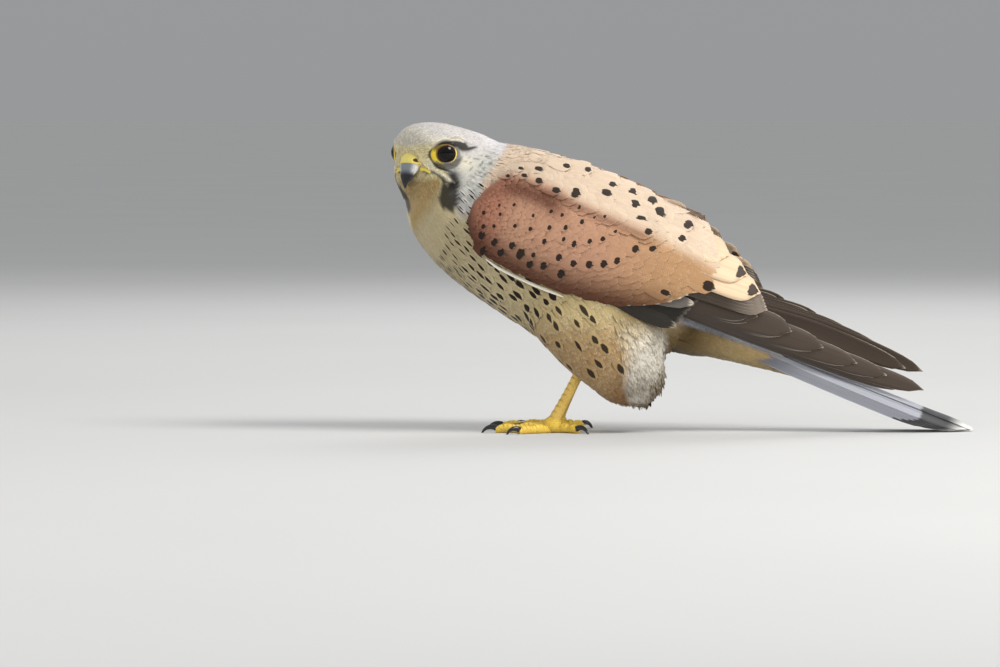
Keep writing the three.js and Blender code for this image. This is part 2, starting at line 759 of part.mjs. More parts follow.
const add = (name, made, finish) => kestrel.add(node(name, made, finish));
const grownBody = bodySolid(GAP);
const torso = whole.intersect(half(neckCut, -1)).subtract(headMade);
const neck = whole.intersect(half(neckCut, 1)).intersect(half(headCut, -1));

add("head", headMade.subtract(lower), finishes.head);
add("cere", cere, finishes.yellow);
add("bill_upper", billUpper, finishes.horn);
add("bill_lower", billLower, finishes.horn);
add("eye_left", eyeballs.left, finishes.eye);
add("eye_right", eyeballs.right, finishes.eye);
add("neck", neck, finishes.head);

const tailMade = tailSolid().intersect(aboveFloor);
const tailCut = { point: tailPoint(14, 0, 0), out: tailPoint(1, 0, 0).sub(tailPoint(0, 0, 0)) };
add("torso", torso.intersect(half(tailCut, -1)), finishes.breast);
add("tail", tailMade.intersect(half(tailCut, 1)), finishes.tail);

for (const [name, side] of [["left", 1], ["right", -1]]) {
  const wing = wingSolid(side).subtract(grownBody);
  add("wing_" + name, wing, finishes.wing);
  const thigh = thighSolid(side).subtract(grownBody).subtract(wingRoom(side));
  const middle = side * -(GAP / 2);
  add(
    "thigh_" + name,
    thigh.intersect(halfSpace(V(0, middle, 0), V(0, -side, 0))),
    finishes.breast,
  );
  const shank = tarsusSolid(side).subtract(thighSolid(side, GAP)).intersect(aboveFloor);
  add("tarsus_" + name, shank, finishes.yellow);
  let taken = tarsusSolid(side, GAP);
  for (const toe of toes) {
    const stations = toeStations(side, toe);
    const made = taperedTube(stations, 8).subtract(taken).intersect(aboveFloor);
    add(`toe_${name}_${toe[0]}`, made, finishes.yellow);
    const claw = taperedTube(clawStations(side, toe), 6).subtract(taperedTube(stations, 8, GAP));
    add(`claw_${name}_${toe[0]}`, claw.intersect(aboveFloor), finishes.claw);
    taken = taken.add(taperedTube(stations, 8, GAP));
  }
}

export default kestrel;
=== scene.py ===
# %% [markdown]
# # A common kestrel as a museum model
#
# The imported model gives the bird's form in plain named solids. This script dresses it: a skin,
# a coat of feathers that are real thin meshes, the folded wings and the tail feather by feather,
# and the bare parts, which are eyes, bill and feet. Sizes below are in millimetres, in the frame
# of the solids: the bird faces -X, its left side faces -Y and the floor is Z = 0.

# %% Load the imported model
from functools import partial

import bpy
import numpy as np
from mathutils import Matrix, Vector


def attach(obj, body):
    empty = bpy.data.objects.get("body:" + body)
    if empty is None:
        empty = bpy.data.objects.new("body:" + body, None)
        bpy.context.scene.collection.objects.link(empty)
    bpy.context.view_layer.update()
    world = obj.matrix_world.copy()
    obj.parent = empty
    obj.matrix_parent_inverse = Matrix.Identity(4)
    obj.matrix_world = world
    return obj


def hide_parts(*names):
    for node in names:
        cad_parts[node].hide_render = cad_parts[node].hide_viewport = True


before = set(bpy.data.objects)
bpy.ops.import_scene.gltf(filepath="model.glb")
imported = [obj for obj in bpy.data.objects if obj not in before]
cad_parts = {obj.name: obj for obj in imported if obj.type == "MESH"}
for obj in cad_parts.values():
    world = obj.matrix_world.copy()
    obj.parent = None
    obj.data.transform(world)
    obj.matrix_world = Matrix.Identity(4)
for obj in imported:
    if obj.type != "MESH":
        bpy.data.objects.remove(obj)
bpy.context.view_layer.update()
MM = 0.001
SIDES = {1: "left", -1: "right"}
random = np.random.default_rng(7)
scatter = random.standard_normal  # numbers on both sides of 0, most of them within 1

# %% [markdown]
# ## Camera and light
#
# A long lens from far away flattens a bird as a wildlife photograph does. The lens could also be
# moved close and widened, but then the near wing would look too big. Round soft lamps stand in for
# a bright overcast day: they give soft shadows and one clear glint in the eye.

# %% Camera and light
VIEW_CENTRE = np.array([-97.6, 0, 51.7])
VIEW_DISTANCE = 2940
VIEW_ELEVATION = 2.4  # degrees


def in_scene(name, data):
    """A new object of the scene with this data."""
    made = bpy.data.objects.new(name, data)
    bpy.context.scene.collection.objects.link(made)
    return made


camera_data = bpy.data.cameras.new("camera")
camera_data.lens = 200
camera_data.sensor_width = 36
camera_data.clip_end = 80  # metres, past the floor's far part
camera = in_scene("camera", camera_data)
bpy.context.scene.camera = camera
tilt = np.radians(VIEW_ELEVATION)
camera.location = (VIEW_CENTRE + VIEW_DISTANCE * np.array([0, -np.cos(tilt), np.sin(tilt)])) * MM
camera.rotation_euler = (np.pi / 2 - tilt, 0, 0)


def lamp(name, place, aim, size, power, colour=(1, 1, 1), mirrored=True):
    """A round soft lamp at a place in metres, turned to face the aim. Unless mirrored, it lights
    the bird without being seen in shiny parts."""
    data = bpy.data.lights.new(name, "AREA")
    data.shape = "DISK"
    data.size = size
    data.energy = power
    data.color = colour
    made = in_scene(name, data)
    made.location = place
    made.rotation_euler = Vector(np.subtract(aim, place)).to_track_quat("-Z", "Y").to_euler()
    made.visible_glossy = mirrored


MIDDLE = (-0.02, 0, 0.09)
lamp("key", (1.1, -0.75, 1.55), MIDDLE, 0.9, 29.5, (1, 0.98, 0.95))
lamp("low", (1.2, -0.9, 0.12), (0.03, 0, 0.04), 0.5, 10, (1, 0.98, 0.95), mirrored=False)
lamp("front", (-1.3, -1.5, 0.9), MIDDLE, 1.3, 8, (0.98, 0.99, 1), mirrored=False)
lamp("back", (0.3, 1.6, 1.5), MIDDLE, 1.2, 14, (1, 1, 1), mirrored=False)
bpy.context.scene.view_settings.view_transform = "Standard"

# %% [markdown]
# ## Meshes from arrays
#
# Each piece is worked out as whole arrays of points. These helpers put the arrays into a mesh,
# close a grid of points into faces, and hang the piece on the model's one body.


# %% Meshes from arrays
def srgb(*levels):
    """Screen levels from 0 to 255 as linear light: the inverse of the screen's curve."""
    c = np.array(levels, float) / 255
    return np.where(c > 0.04045, ((c + 0.055) / 1.055) ** 2.4, c / 12.92)


def grid_faces(rows, columns, wrap=False):
    """Four-cornered faces of a grid of points; wrap joins the last column to the first."""
    i, j = np.meshgrid(np.arange(rows - 1), np.arange(columns if wrap else columns - 1), indexing="ij")
    k = (j + 1) % columns
    here, after = i * columns, (i + 1) * columns
    return np.stack([here + j, here + k, after + k, after + j], -1).reshape(-1, 4)


def piece(name, points, faces, material, slot, replaces=(), uvs=None, colours=None):
    """A named mesh that rides on the model. points are millimetres, uvs and colours are per point."""
    points = np.asarray(points, float).reshape(-1, 3)
    faces = np.asarray(faces, np.int32)
    mesh = bpy.data.meshes.new(name)
    mesh.vertices.add(len(points))
    mesh.vertices.foreach_set("co", (points * MM).astype(np.float32).ravel())
    mesh.loops.add(faces.size)
    mesh.loops.foreach_set("vertex_index", faces.ravel())
    mesh.polygons.add(len(faces))
    mesh.polygons.foreach_set("loop_start", np.arange(0, faces.size, faces.shape[1], dtype=np.int32))
    mesh.polygons.foreach_set("use_smooth", np.ones(len(faces), bool))
    mesh.update(calc_edges=True)
    for layer, values in (uvs or {}).items():
        flat = np.asarray(values, np.float32).reshape(-1, 2)[faces.ravel()]
        mesh.uv_layers.new(name=layer).data.foreach_set("uv", flat.ravel())
    for layer, values in (colours or {}).items():
        flat = np.asarray(values, np.float32).reshape(len(points), -1)
        rgba = np.ones((len(points), 4), np.float32)
        rgba[:, : flat.shape[1]] = flat
        mesh.attributes.new(layer, "FLOAT_COLOR", "POINT").data.foreach_set("color", rgba.ravel())
    mesh.materials.append(material)
    made = in_scene(name, mesh)
    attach(made, "root")
    if replaces:
        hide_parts(*replaces)
    print(f"{name}: {len(points)} points, {len(faces) * (faces.shape[1] - 2)} triangles")


def unit(v):
    """Vectors scaled to length 1."""
    return v / np.maximum(np.linalg.norm(v, axis=-1, keepdims=True), 1e-9)


def ease(low, high, x):
    """0 below low, 1 above high, with an S curve between: the share s as s*s*(3 - 2s)."""
    s = np.clip((np.asarray(x, float) - low) / (high - low), 0, 1)
    return s * s * (3 - 2 * s)


def through(*pairs):
    """A smooth line through (input, output) pairs: a cubic between each two, whose slope at a pair
    is that of the straight line between its neighbours. It is level beyond both ends."""
    x, y = np.array(pairs, float).T
    slope = np.gradient(y, x)
    slope[1:-1] = (y[2:] - y[:-2]) / (x[2:] - x[:-2])
    fine = np.linspace(x[0], x[-1], 900)
    i = np.clip(np.searchsorted(x, fine, side="right") - 1, 0, len(x) - 2)
    span = x[i + 1] - x[i]
    s = (fine - x[i]) / span
    h = s * s * (3 - 2 * s)
    bend = span * (s * (1 - s) ** 2 * slope[i] - s * s * (1 - s) * slope[i + 1])
    line = y[i] * (1 - h) + y[i + 1] * h + bend
    return lambda at: np.interp(at, fine, line)


def span_of(top, bottom):
    """For each place along an axis, the middle between two lines and half the gap."""
    return lambda s: ((top(s) + bottom(s)) / 2, (top(s) - bottom(s)) / 2)


# %% [markdown]
# ## The form under the coat
#
# The same named sizes as in the solids give body, head and thighs as smooth fields: each field is
# the distance from a surface whose sections are soft ellipses along an axis. A smooth union melts
# them into one, so that neck and thigh flow into the body with no seam, and any point can be
# settled at a chosen height over the surface by a few steps along the field's slope. Sculpted
# meshes could give the same form, but not the height of a feather over it.

# %% Body, head and thighs as fields
BODY_START = np.array([-124.1, 0, 133])
BODY_PITCH = np.radians(34)
BODY_FRONT, BODY_END = -14, 158  # from the throat to where the rump passes into the tail coverts
BODY_AXIS = np.array([np.cos(BODY_PITCH), 0, -np.sin(BODY_PITCH)])
BODY_UP = np.array([np.sin(BODY_PITCH), 0, np.cos(BODY_PITCH)])
body_top = through(
    (-14, 16), (0, 26), (9, 30), (21, 36), (42, 43.5), (58, 48.2), (74, 51.8), (90, 53.2), (106, 50),
    (122, 41.5), (138, 31.5), (154, 22), (168, 11), (174, 4)
)
body_bottom = through(
    (-14, -25.5), (0, -34.2), (9, -38), (21, -41), (42, -43), (74, -43), (90, -42.5), (106, -37),
    (122, -26), (138, -13), (154, -4.5), (168, -3), (174, -1)
)
body_span = span_of(body_top, body_bottom)
body_wide = through(
    (-14, 17), (0, 25), (9, 27.6), (21, 30), (42, 32.4), (58, 33), (74, 32.6), (90, 31.2), (106, 28.6),
    (122, 24.5), (138, 19.5), (154, 14.5), (168, 8), (174, 3)
)

HEAD = np.array([-126.2, -4, 142])
HEAD_BACK, HEAD_FRONT = -27.5, 27
yaw, pitch = np.radians(45), np.radians(15)
turn = np.array([[np.cos(yaw), -np.sin(yaw), 0], [np.sin(yaw), np.cos(yaw), 0], [0, 0, 1]])
nod = np.array([[np.cos(pitch), 0, -np.sin(pitch)], [0, 1, 0], [np.sin(pitch), 0, np.cos(pitch)]])
HEAD_AXES = turn @ nod @ np.diag([-1, -1, 1])  # columns: forward, the bird's left, up
head_top = through(
    (-27.5, 1), (-24, 6), (-16, 12.8), (-6, 19), (4, 23.2), (12, 24.9), (18, 24.6), (23, 21.6), (27, 15.2)
)
head_bottom = through(
    (-27.5, -6), (-24, -14), (-16, -19.5), (-6, -21), (4, -20), (12, -19.2), (18, -16.8), (23, -11.5),
    (27, -5.5)
)
head_wide = through(
    (-27.5, 5), (-24, 13.5), (-16, 20), (-6, 23), (4, 24.2), (12, 23.2), (18, 19.8), (23, 14.6), (27, 8)
)
head_span = span_of(head_top, head_bottom)
EYE = np.array([16.2, 18.9, 9.6])  # forward, left, up, where the lids open
EYE_OUTWARDS = np.radians(54)
EYE_RADIUS = 6.8
LID_HEIGHT = 4.3  # from the middle of the ball to the opening

thigh_middle = through((14, -29.2), (24, -32.7), (32, -36.2), (46, -43.2), (60, -48.2), (84, -52.2))
thigh_long = through((14, 4), (17, 10.5), (24, 17.3), (32, 24), (46, 30.5), (60, 33), (84, 24))
thigh_wide = through((14, 3), (17, 7), (24, 11), (32, 14), (46, 16.5), (60, 17), (84, 12))
THIGH_LOW, THIGH_HIGH = 14, 84
THIGH_Y = 17.6

# Lines of the face as (up, forward) pairs on the side of the head, the same on both sides.
moustache_line = through((-24, 20.6), (-20, 20.4), (-17.8, 20.3), (-12.9, 20.0), (-8.3, 19.8), (-6.1, 19.5))
fold_line = through((-6, 17.8), (-4.3, 19.0), (-1.4, 20.4), (1.1, 22.1), (4.0, 23.5), (7.6, 23.5))
lash_line = through((0.3, 17.7), (1.6, 19.4), (3.9, 21.6), (8.2, 22.5), (12.6, 21.7), (15.3, 18.6))
gape_line = through((-5.6, 18.8), (-4.8, 20.3), (-2.0, 21.3), (0.4, 22.6), (2.0, 23.9))
streak_line = through((-6, 7.6), (-0.6, 8.2), (5.5, 8.9), (8.7, 10.3), (11, 12.4))  # (forward, up)
brow_shadow = through((4, 12.2), (7.5, 13.5), (11.9, 14.9), (18.2, 15.4))  # (forward, up)
upper_streak = through((-1, 9.8), (2.1, 11.6), (5.5, 15.0), (11.9, 16.9))  # (forward, up)
brow_line = through((-2, 13), (4, 14.6), (8, 15.6), (13.2, 16.6), (20.3, 17.2))  # (forward, up)


def stroke(offset, width):
    """A soft line: a bell curve over the distance from its middle."""
    return np.exp(-((offset / width) ** 2))


def window(x, low, high, soft):
    """1 between low and high with soft ends."""
    return ease(low - soft, low + soft, x) * ease(high + soft, high - soft, x)


def body_coords(p):
    """Along the body axis, above it, and to the bird's right."""
    d = p - BODY_START
    return d @ BODY_AXIS, d @ BODY_UP, d[..., 1]


def head_coords(p):
    """Forward of the head's middle, to the bird's left, and above."""
    d = (p - HEAD) @ HEAD_AXES
    return d[..., 0], d[..., 1], d[..., 2]


def head_point(f, l, u):
    """The place that is f forward, l to the left and u above the head's middle."""
    return HEAD + np.stack(np.broadcast_arrays(f, l, u), -1) @ HEAD_AXES.T


def hill(f, u, at, spread, height):
    """A round hill on the side of the head: a bell curve in both directions."""
    return height * np.exp(-(((f - at[0]) / spread[0]) ** 2) - ((u - at[1]) / spread[1]) ** 2)


def section_field(across, over, wide, half):
    """How far outside a soft ellipse a point lies: the root of the summed squares of its shares,
    less 1, times the ellipse's middle radius."""
    share = np.sqrt(np.abs(across / wide) ** 2.15 + (over / half) ** 2)
    return (share - 1) * np.sqrt(wide * half)


def body_field(p):
    """The trunk with the neck, rounded off where its ends are cut."""
    t, n, y = body_coords(p)
    middle, half = body_span(t)
    outside = section_field(y, n - middle, body_wide(t), half)
    return -melt(-outside, np.minimum(t - BODY_FRONT, BODY_END - t), 9)


def head_field(p):
    """The head, with low hills and hollows in its width: brow, eye socket, face folds and cheeks. The
    face is cut flat in front, with hollows for the bill and the corners of the mouth."""
    f, l, u = head_coords(p)
    middle, half = head_span(f)
    relief = (hill(f, u, (EYE[0] - 1, EYE[2] + 7.2), (8, 2.6), 1.7)
              - hill(f, u, (EYE[0], EYE[2]), (5.5, 4.5), 1.3)
              + 0.7 * stroke(f - fold_line(u), 0.9) * window(u, -5.5, 8.5, 1.5)
              - 0.6 * stroke(f - lash_line(u), 0.9) * window(u, 0, 13, 1.5)
              + hill(f, u, (20, -12), (6, 6), 2.2)
              - hill(f, u, (25.4, 11), (3.6, 5), 2.2)
              + hill(f, u, (9, -5), (7, 6), 0.9)
              + hill(f, u, (20, -6), (6.5, 7), 2.6))
    front = f - HEAD_FRONT + 2.8 * np.exp(-((l / 9) ** 2) - ((u - 7) / 6.5) ** 2)
    front = front + 3.4 * np.exp(-(((np.abs(l) - 9.5) / 3.8) ** 2) - ((u - 1.6) / 3.2) ** 2)
    outside = section_field(l, u - middle, head_wide(f) + relief, half)
    return np.maximum(outside, np.maximum(HEAD_BACK - f, front))


def thigh_field(p):
    """The nearer of the two feathered thighs, which stand upright and narrow downwards."""
    z = p[..., 2]
    across = np.abs(p[..., 1]) - THIGH_Y
    outside = section_field(across, p[..., 0] - thigh_middle(z), thigh_wide(z), thigh_long(z))
    return np.maximum(outside, np.maximum(THIGH_LOW - z, z - THIGH_HIGH))


TAIL_ROOT = np.array([0.8, 0, 60])
TAIL_LENGTH = 163
TAIL_PITCH = np.radians(21.6)
covert_wide = through((-30, 17), (-5, 16), (10, 14), (30, 12.5), (50, 10), (66, 6.5), (76, 3))
covert_over = through((-30, 12), (-5, 10), (10, 7.6), (30, 5.4), (48, 3.6), (60, 0.5), (76, -3.5))
covert_under = through((-30, -20), (-5, -18.5), (10, -16), (30, -12.6), (50, -9.6), (66, -7.4), (76, -5.5))
covert_span = span_of(covert_over, covert_under)
COVERT_START, COVERT_END = -30, 76
COVERT_FALL = 0.12  # how far they sink for each millimetre to the side


def tail_coords(p):
    """Back along the tail from its root, and above it."""
    d = p - TAIL_ROOT
    c, s = np.cos(TAIL_PITCH), np.sin(TAIL_PITCH)
    return d[..., 0] * c - d[..., 2] * s, d[..., 0] * s + d[..., 2] * c


def covert_field(p):
    """The soft cone of tail coverts that runs on from the rump and narrows along the tail."""
    u, n = tail_coords(p)
    middle, half = covert_span(u)
    over = n - middle + COVERT_FALL * np.abs(p[..., 1])
    outside = section_field(p[..., 1], over, covert_wide(u), half)
    return np.maximum(outside, np.maximum(COVERT_START - u, u - COVERT_END))


def melt(a, b, reach):
    """The smaller of two fields, rounded off where they are closer than reach."""
    h = np.clip(0.5 + 0.5 * (b - a) / reach, 0, 1)
    return b * (1 - h) + a * h - reach * h * (1 - h)


def form_field(p):
    """Body, head, thighs and tail coverts melted into one form, joint by joint."""
    with_head = melt(body_field(p), head_field(p), 11)
    return melt(melt(with_head, thigh_field(p), 8), covert_field(p), 9)


def slope_of(field, p, step=0.2):
    """The field's slope by small steps along each axis."""
    here = field(p)
    return here, np.stack([(field(p + step * axis) - here) / step for axis in np.eye(3)], -1)


def settle(p, level, field=form_field, steps=3):
    """Moves points along the slope to a level over the surface, and gives the way out there."""
    for _ in range(steps):
        here, slope = slope_of(field, p)
        size = np.maximum(np.linalg.norm(slope, axis=-1), 0.2)
        p = p + ((level - here / size) / size)[..., None] * slope
    return p, unit(slope)


def rings(axis_values, span, wide, place, around=48):
    """A closed tube of soft ellipses: one ring of points for each value along the axis."""
    angle = 2 * np.pi * np.arange(around) / around
    s = np.asarray(axis_values, float)[:, None]
    middle, half = span(s)
    over = middle + half * np.cos(angle)
    across = wide(s) * np.sign(np.sin(angle)) * np.abs(np.sin(angle)) ** 0.93
    return place(s, over, across)


def capped(points):
    """Faces of a tube of rings, with its ends closed by strips of four-cornered faces."""
    rows, around = points.shape[:2]
    j = np.arange(0, around // 2 - 1)
    cap = np.stack([j, j + 1, around - 2 - j, around - 1 - j], -1)
    sides = grid_faces(rows, around, wrap=True)
    return np.vstack([sides[:, ::-1], cap, (rows - 1) * around + cap[:, ::-1]])


# %% [markdown]
# ## Markings
#
# Colour follows the bird and not the mesh: one function gives the ground colour at any place on
# the form, with the lines of the face. Skin and coat both ask it, so that they agree wherever the
# coat is thin. A painted image could do this too, but it would blur when seen from near.

# %% Ground colours by place
CROWN = srgb(202, 198, 196)
NAPE = srgb(220, 216, 218)
CHEEK = srgb(194, 194, 187)
FACE_BUFF = srgb(224, 210, 162)
BROW_PALE = srgb(234, 226, 200)
SLATE = srgb(58, 56, 54)
# THROAT, BREAST and BELLY are the underparts' own buff, darkened as painted shade of the underside
THROAT = srgb(178, 151, 100)
BREAST = srgb(190, 175, 138)
BELLY = srgb(188, 168, 122)
# the vent's buff darkened as painted shade of the deep shade under the body; it also darkens the thighs' rear
# top and the undertail coverts' roots
VENT_PAINTED_SHADE = srgb(84, 66, 34)
UNDER_TAIL = srgb(158, 136, 94)
MANTLE = srgb(212, 190, 166)
BACK = srgb(206, 168, 134)
RUMP = srgb(142, 146, 156)
# the thighs' rufous, darkened as painted shade like the underparts above
THIGH = srgb(150, 110, 68)
TROUSER = srgb(250, 248, 238)
MARK = srgb(30, 20, 14)
INK = srgb(26, 23, 22)


def blend(base, other, share):
    """base and other mixed by a share from 0 to 1."""
    share = np.asarray(share)[..., None]
    return base * (1 - share) + other * share


def layered(made, *layers):
    """A ground colour with layers over it, each a colour and its share."""
    for colour, share in layers:
        made = blend(made, colour, share)
    return made


def eye_distance(f, l, u):
    """Distance from the middle of the nearer eye's opening."""
    return np.sqrt((f - EYE[0]) ** 2 + (u - EYE[2]) ** 2 + (np.abs(l) - EYE[1]) ** 2)


def head_colour(f, l, u):
    """Ground colour of the head: grey above, pale cheeks, buff face and throat, dark face lines, and
    painted shadow of the brow over the eye.
    """
    away = eye_distance(f, l, u)
    side = ease(4, 9, np.abs(l))
    front = ease(-0.2, 0.9, off_stripe(f, l, u) - 2.1) * ease(0, -4, u)
    chin = ease(13, 8, np.abs(l)) * ease(-3, -9, u)
    # rows of fine dark edges over the ear and down the side of the neck
    rows = 0.5 + 0.5 * np.sin(2.1 * (u + 0.3 * f) + 1.3 * np.sin(0.7 * f + 0.5 * u))
    rows = rows * (0.5 + 0.5 * np.sin(1.1 * f - 0.6 * u + 2.1 * np.sin(0.9 * u)))
    streak = stroke(u - streak_line(f) - 0.3, 0.7 + 0.14 * np.clip(f, 0, 8))
    dark = np.maximum.reduce([
        0.9 * stroke(f - 17.2, 3.2) * window(u, -9, 0.5, 2.5),
        0.55 * window(away, 0, 7.6, 0.5),
        0.72 * window(away, 0, 8.8, 0.9) * ease(-1.5, -4.5, u - EYE[2]),
        0.95 * streak * window(f, -2, 10.5, 2),
        # painted shadow of the brow, along the line above the eye
        0.85 * stroke(u - brow_shadow(f), 0.7) * window(f, 6, 19, 1.5),
        0.5 * stroke(u - upper_streak(f), 0.5) * window(f, 0.5, 12, 1.5),
        0.9 * window(f, 3, 12, 1.5) * (u > streak_line(f)) * (u < brow_shadow(f)),
    ])
    line = np.maximum.reduce([
        0.9 * stroke(f - lash_line(u), 0.9 - 0.35 * ease(4, 8, u)) * window(u, 0, 14, 1.2),
        0.9 * stroke(f - gape_line(u), 0.75) * window(u, -6, 2.5, 1),
        # painted shadow of the brow, close over the top of the eye
        0.9 * window(away, 4.6, 6.7, 0.5) * ease(1.5, 3.5, u - EYE[2]),
    ])
    return layered(
        CROWN + 0 * f[..., None],
        (NAPE, ease(-4, -18, f)),
        (CHEEK, ease(8, 1, u) * window(f, -9, 17, 5)),
        # a paler forehead: partly its own colour, partly painted light where the lamps leave it in shade
        (BROW_PALE, 0.5 * ease(12, 23, f) * ease(9, 15, u)),
        (FACE_BUFF, ease(17, 21, f) * ease(18.5, 14, u)),
        (THROAT, np.maximum(front, chin)),
        (BROW_PALE, 0.85 * side * stroke(u - brow_line(f), 1.1) * window(f, 3, 20, 2)),
        (BROW_PALE, 0.7 * side * np.exp(-(((f - 9.5) / 4.5) ** 2) - ((u - 2.5) / 3.5) ** 2)),
        (SLATE, 0.6 * side * rows**1.5 * window(f, -9, 10, 3.5) * window(u, -16, 6, 3)),
        (SLATE, np.minimum(1.15 * dark, 1) * side),
        (INK, line * side),
        (BROW_PALE, 0.95 * side * stroke(f - fold_line(u), 0.75) * window(u, -5.5, 8.5, 1.2)),
    )


def off_stripe(f, l, u):
    """How far in front of the moustache's middle line a point is; the far stripe lies further forward."""
    return f - moustache_line(u) - 2.4 * ease(0, -8, l)


def moustache(f, l, u):
    """The dark stripe from under the eye down the side of the throat, frayed behind."""
    ahead = off_stripe(f, l, u)
    fray = 0.5 * np.sin(3.1 * u + 1.7 * f) * ease(1, -2, ahead)
    across = ahead * (1 + 0.5 * ease(-14, -21, u)) + fray
    frayed = ease(-5.4, -2.4, across) * ease(2.8, 1.4, across)
    return 0.93 * frayed * window(u + 1.2 * np.sin(2.3 * f), -20.5, -5.2, 2.2) * ease(6, 10, np.abs(l))


def thigh_rear(p):
    """1 at the rear of a thigh, where its feathers are white down."""
    z = np.clip(p[..., 2], 15, 84)
    back = (p[..., 0] - thigh_middle(z)) / thigh_long(z) + 0.35 * ease(45, 20, z)
    return ease(0.2, 0.6, back) * ease(80, 66, z)


def coat_colour(p):
    """Ground colour at points of the form, from the head's and the body's own coordinates, with
    painted shade darkening the underparts, most at the vent, the thighs' rear top and the undertail coverts'
    roots.
    """
    t, n, y = body_coords(p)
    f, l, u = head_coords(p)
    lower = ease(11, -9, n)
    body = layered(
        blend(MANTLE, BACK, ease(50, 120, t)),
        (BREAST, lower),
        (BELLY, lower * ease(45, 90, t)),
        # painted shade at the vent
        (VENT_PAINTED_SHADE, lower * ease(124, 140, t)),
        (RUMP, ease(1, 11, n) * ease(108, 124, t)),
    )
    rear = thigh_rear(p)
    on_thigh = ease(4, -3, thigh_field(p)) * ease(-3, 4, body_field(p))
    # painted shade: the white down turns dark brown towards the thigh's rear top, under the wing
    down = blend(TROUSER + 0 * p, VENT_PAINTED_SHADE, ease(48, 60, p[..., 2]))
    thigh = blend(blend(BELLY, THIGH, ease(66, 44, p[..., 2])), down, rear)
    u_tail, n_tail = tail_coords(p)
    behind = ease(-8, 4, u_tail)
    # painted shade: the undertail coverts darken towards their roots
    under_tail = blend(VENT_PAINTED_SHADE, UNDER_TAIL, ease(2, 34, u_tail))
    coverts = blend(RUMP, under_tail, ease(1.5, 0, n_tail + 0.2 * np.abs(y)))
    grey = ease(21.5, 17.5, t + 4.5 * ease(0, 10, n) + 0.12 * np.maximum(2 - n, 0))
    on_head = np.maximum(ease(2, -3, head_field(p)), grey * ease(-20, -6, n))
    on_head = np.maximum(on_head, ease(3, -5, t))
    return layered(body, (thigh, on_thigh), (coverts, behind), (head_colour(f, l, u), on_head),
                   (INK, moustache(f, l, u)))


# %% [markdown]
# ## Skin
#
# The skin is what the coat grows from. Closed tubes of body, head, tail coverts and thighs are
# merged by a voxel remesh, which costs little and leaves even faces. Each of its points is
# then settled just under the coat, which also rounds the joints between the tubes.

# %% Skin
COAT_DEPTH = 1.4
FACE_DEPTH = 0.45


def coat_depth(p):
    """The coat is thinnest on the face and reaches its full depth behind the neck."""
    t, _, _ = body_coords(p)
    return FACE_DEPTH + (COAT_DEPTH - FACE_DEPTH) * ease(6, 34, t)


def body_at(s, over, across):
    """The place at s along the body, over its axis and across to the right."""
    along, above = np.multiply.outer(s, BODY_AXIS), np.multiply.outer(over, BODY_UP)
    return BODY_START + along + above + np.multiply.outer(across, [0, 1, 0])


def head_at(s, over, across):
    """The place at s forward in the head, over its middle and across to the left."""
    return head_point(s, across, over)


def tail_at(s, over, across):
    """The place at s back along the tail, over its root line and across to the right."""
    c, n = np.cos(TAIL_PITCH), np.sin(TAIL_PITCH)
    over = over - COVERT_FALL * np.abs(across)
    return TAIL_ROOT + np.stack(np.broadcast_arrays(s * c + over * n, across, over * c - s * n), -1)


def thigh_at(side):
    """The place at height s in one thigh, behind its middle line and across to the right."""
    def place(s, over, across):
        return np.stack(np.broadcast_arrays(thigh_middle(s) + over, side * -THIGH_Y + across, s), -1)
    return place


tubes = [
    rings(np.linspace(BODY_FRONT, BODY_END, 70), body_span, body_wide, body_at),
    rings(np.linspace(HEAD_BACK, HEAD_FRONT, 40), head_span, head_wide, head_at),
    rings(np.linspace(COVERT_START, COVERT_END, 50), covert_span, covert_wide, tail_at),
    *(rings(np.linspace(THIGH_HIGH, THIGH_LOW, 36), lambda s: (0 * s, thigh_long(s)), thigh_wide,
            thigh_at(side)) for side in SIDES),
]


def outwards(points, faces):
    """The faces of a closed form, turned over if they point at its middle."""
    p = points.reshape(-1, 3)
    normal = np.cross(p[faces[:, 1]] - p[faces[:, 0]], p[faces[:, 2]] - p[faces[:, 0]])
    return faces if np.sum((p[faces].mean(1) - p.mean(0)) * normal) > 0 else faces[:, ::-1]


def joined(tubes):
    """Points and faces of closed tubes as one array each."""
    points, faces, count = [], [], 0
    for tube in tubes:
        faces.append(outwards(tube, capped(tube)) + count)
        points.append(tube.reshape(-1, 3))
        count += len(points[-1])
    return np.vstack(points), np.vstack(faces)


def merged_skin(tubes, voxel):
    """Points and faces of the closed tubes, merged by a voxel remesh."""
    points, faces = joined(tubes)
    mesh = bpy.data.meshes.new("merging")
    mesh.from_pydata(points * MM, [], faces.tolist())
    mesh.update()
    made = in_scene("merging", mesh)
    remesh = made.modifiers.new("merge", "REMESH")
    remesh.mode = "VOXEL"
    remesh.voxel_size = voxel * MM
    done = bpy.data.meshes.new_from_object(made.evaluated_get(bpy.context.evaluated_depsgraph_get()))
    at = np.empty(len(done.vertices) * 3, np.float32)
    done.vertices.foreach_get("co", at)
    loops = np.empty(len(done.loops), np.int32)
    done.loops.foreach_get("vertex_index", loops)
    bpy.data.objects.remove(made)
    bpy.data.meshes.remove(mesh)
    bpy.data.meshes.remove(done)
    return at.reshape(-1, 3) / MM, loops.reshape(-1, 4)


skin_points, skin_faces = merged_skin(tubes, 1.3)
skin_points, _ = settle(skin_points, -coat_depth(skin_points))
print("skin points:", len(skin_points))

# %% [markdown]
# ## Shader groups
#
# A feather's look is worked out once, in a node group that every plumage material uses. It reads
# the vane's own map, in which U runs across from edge to edge and V from root to tip, and three
# colour attributes: tone is the ground colour, mark holds a spot's half width, place, half length
# and strength, and trim holds the pale edge's strength and width and the shaft's darkness.


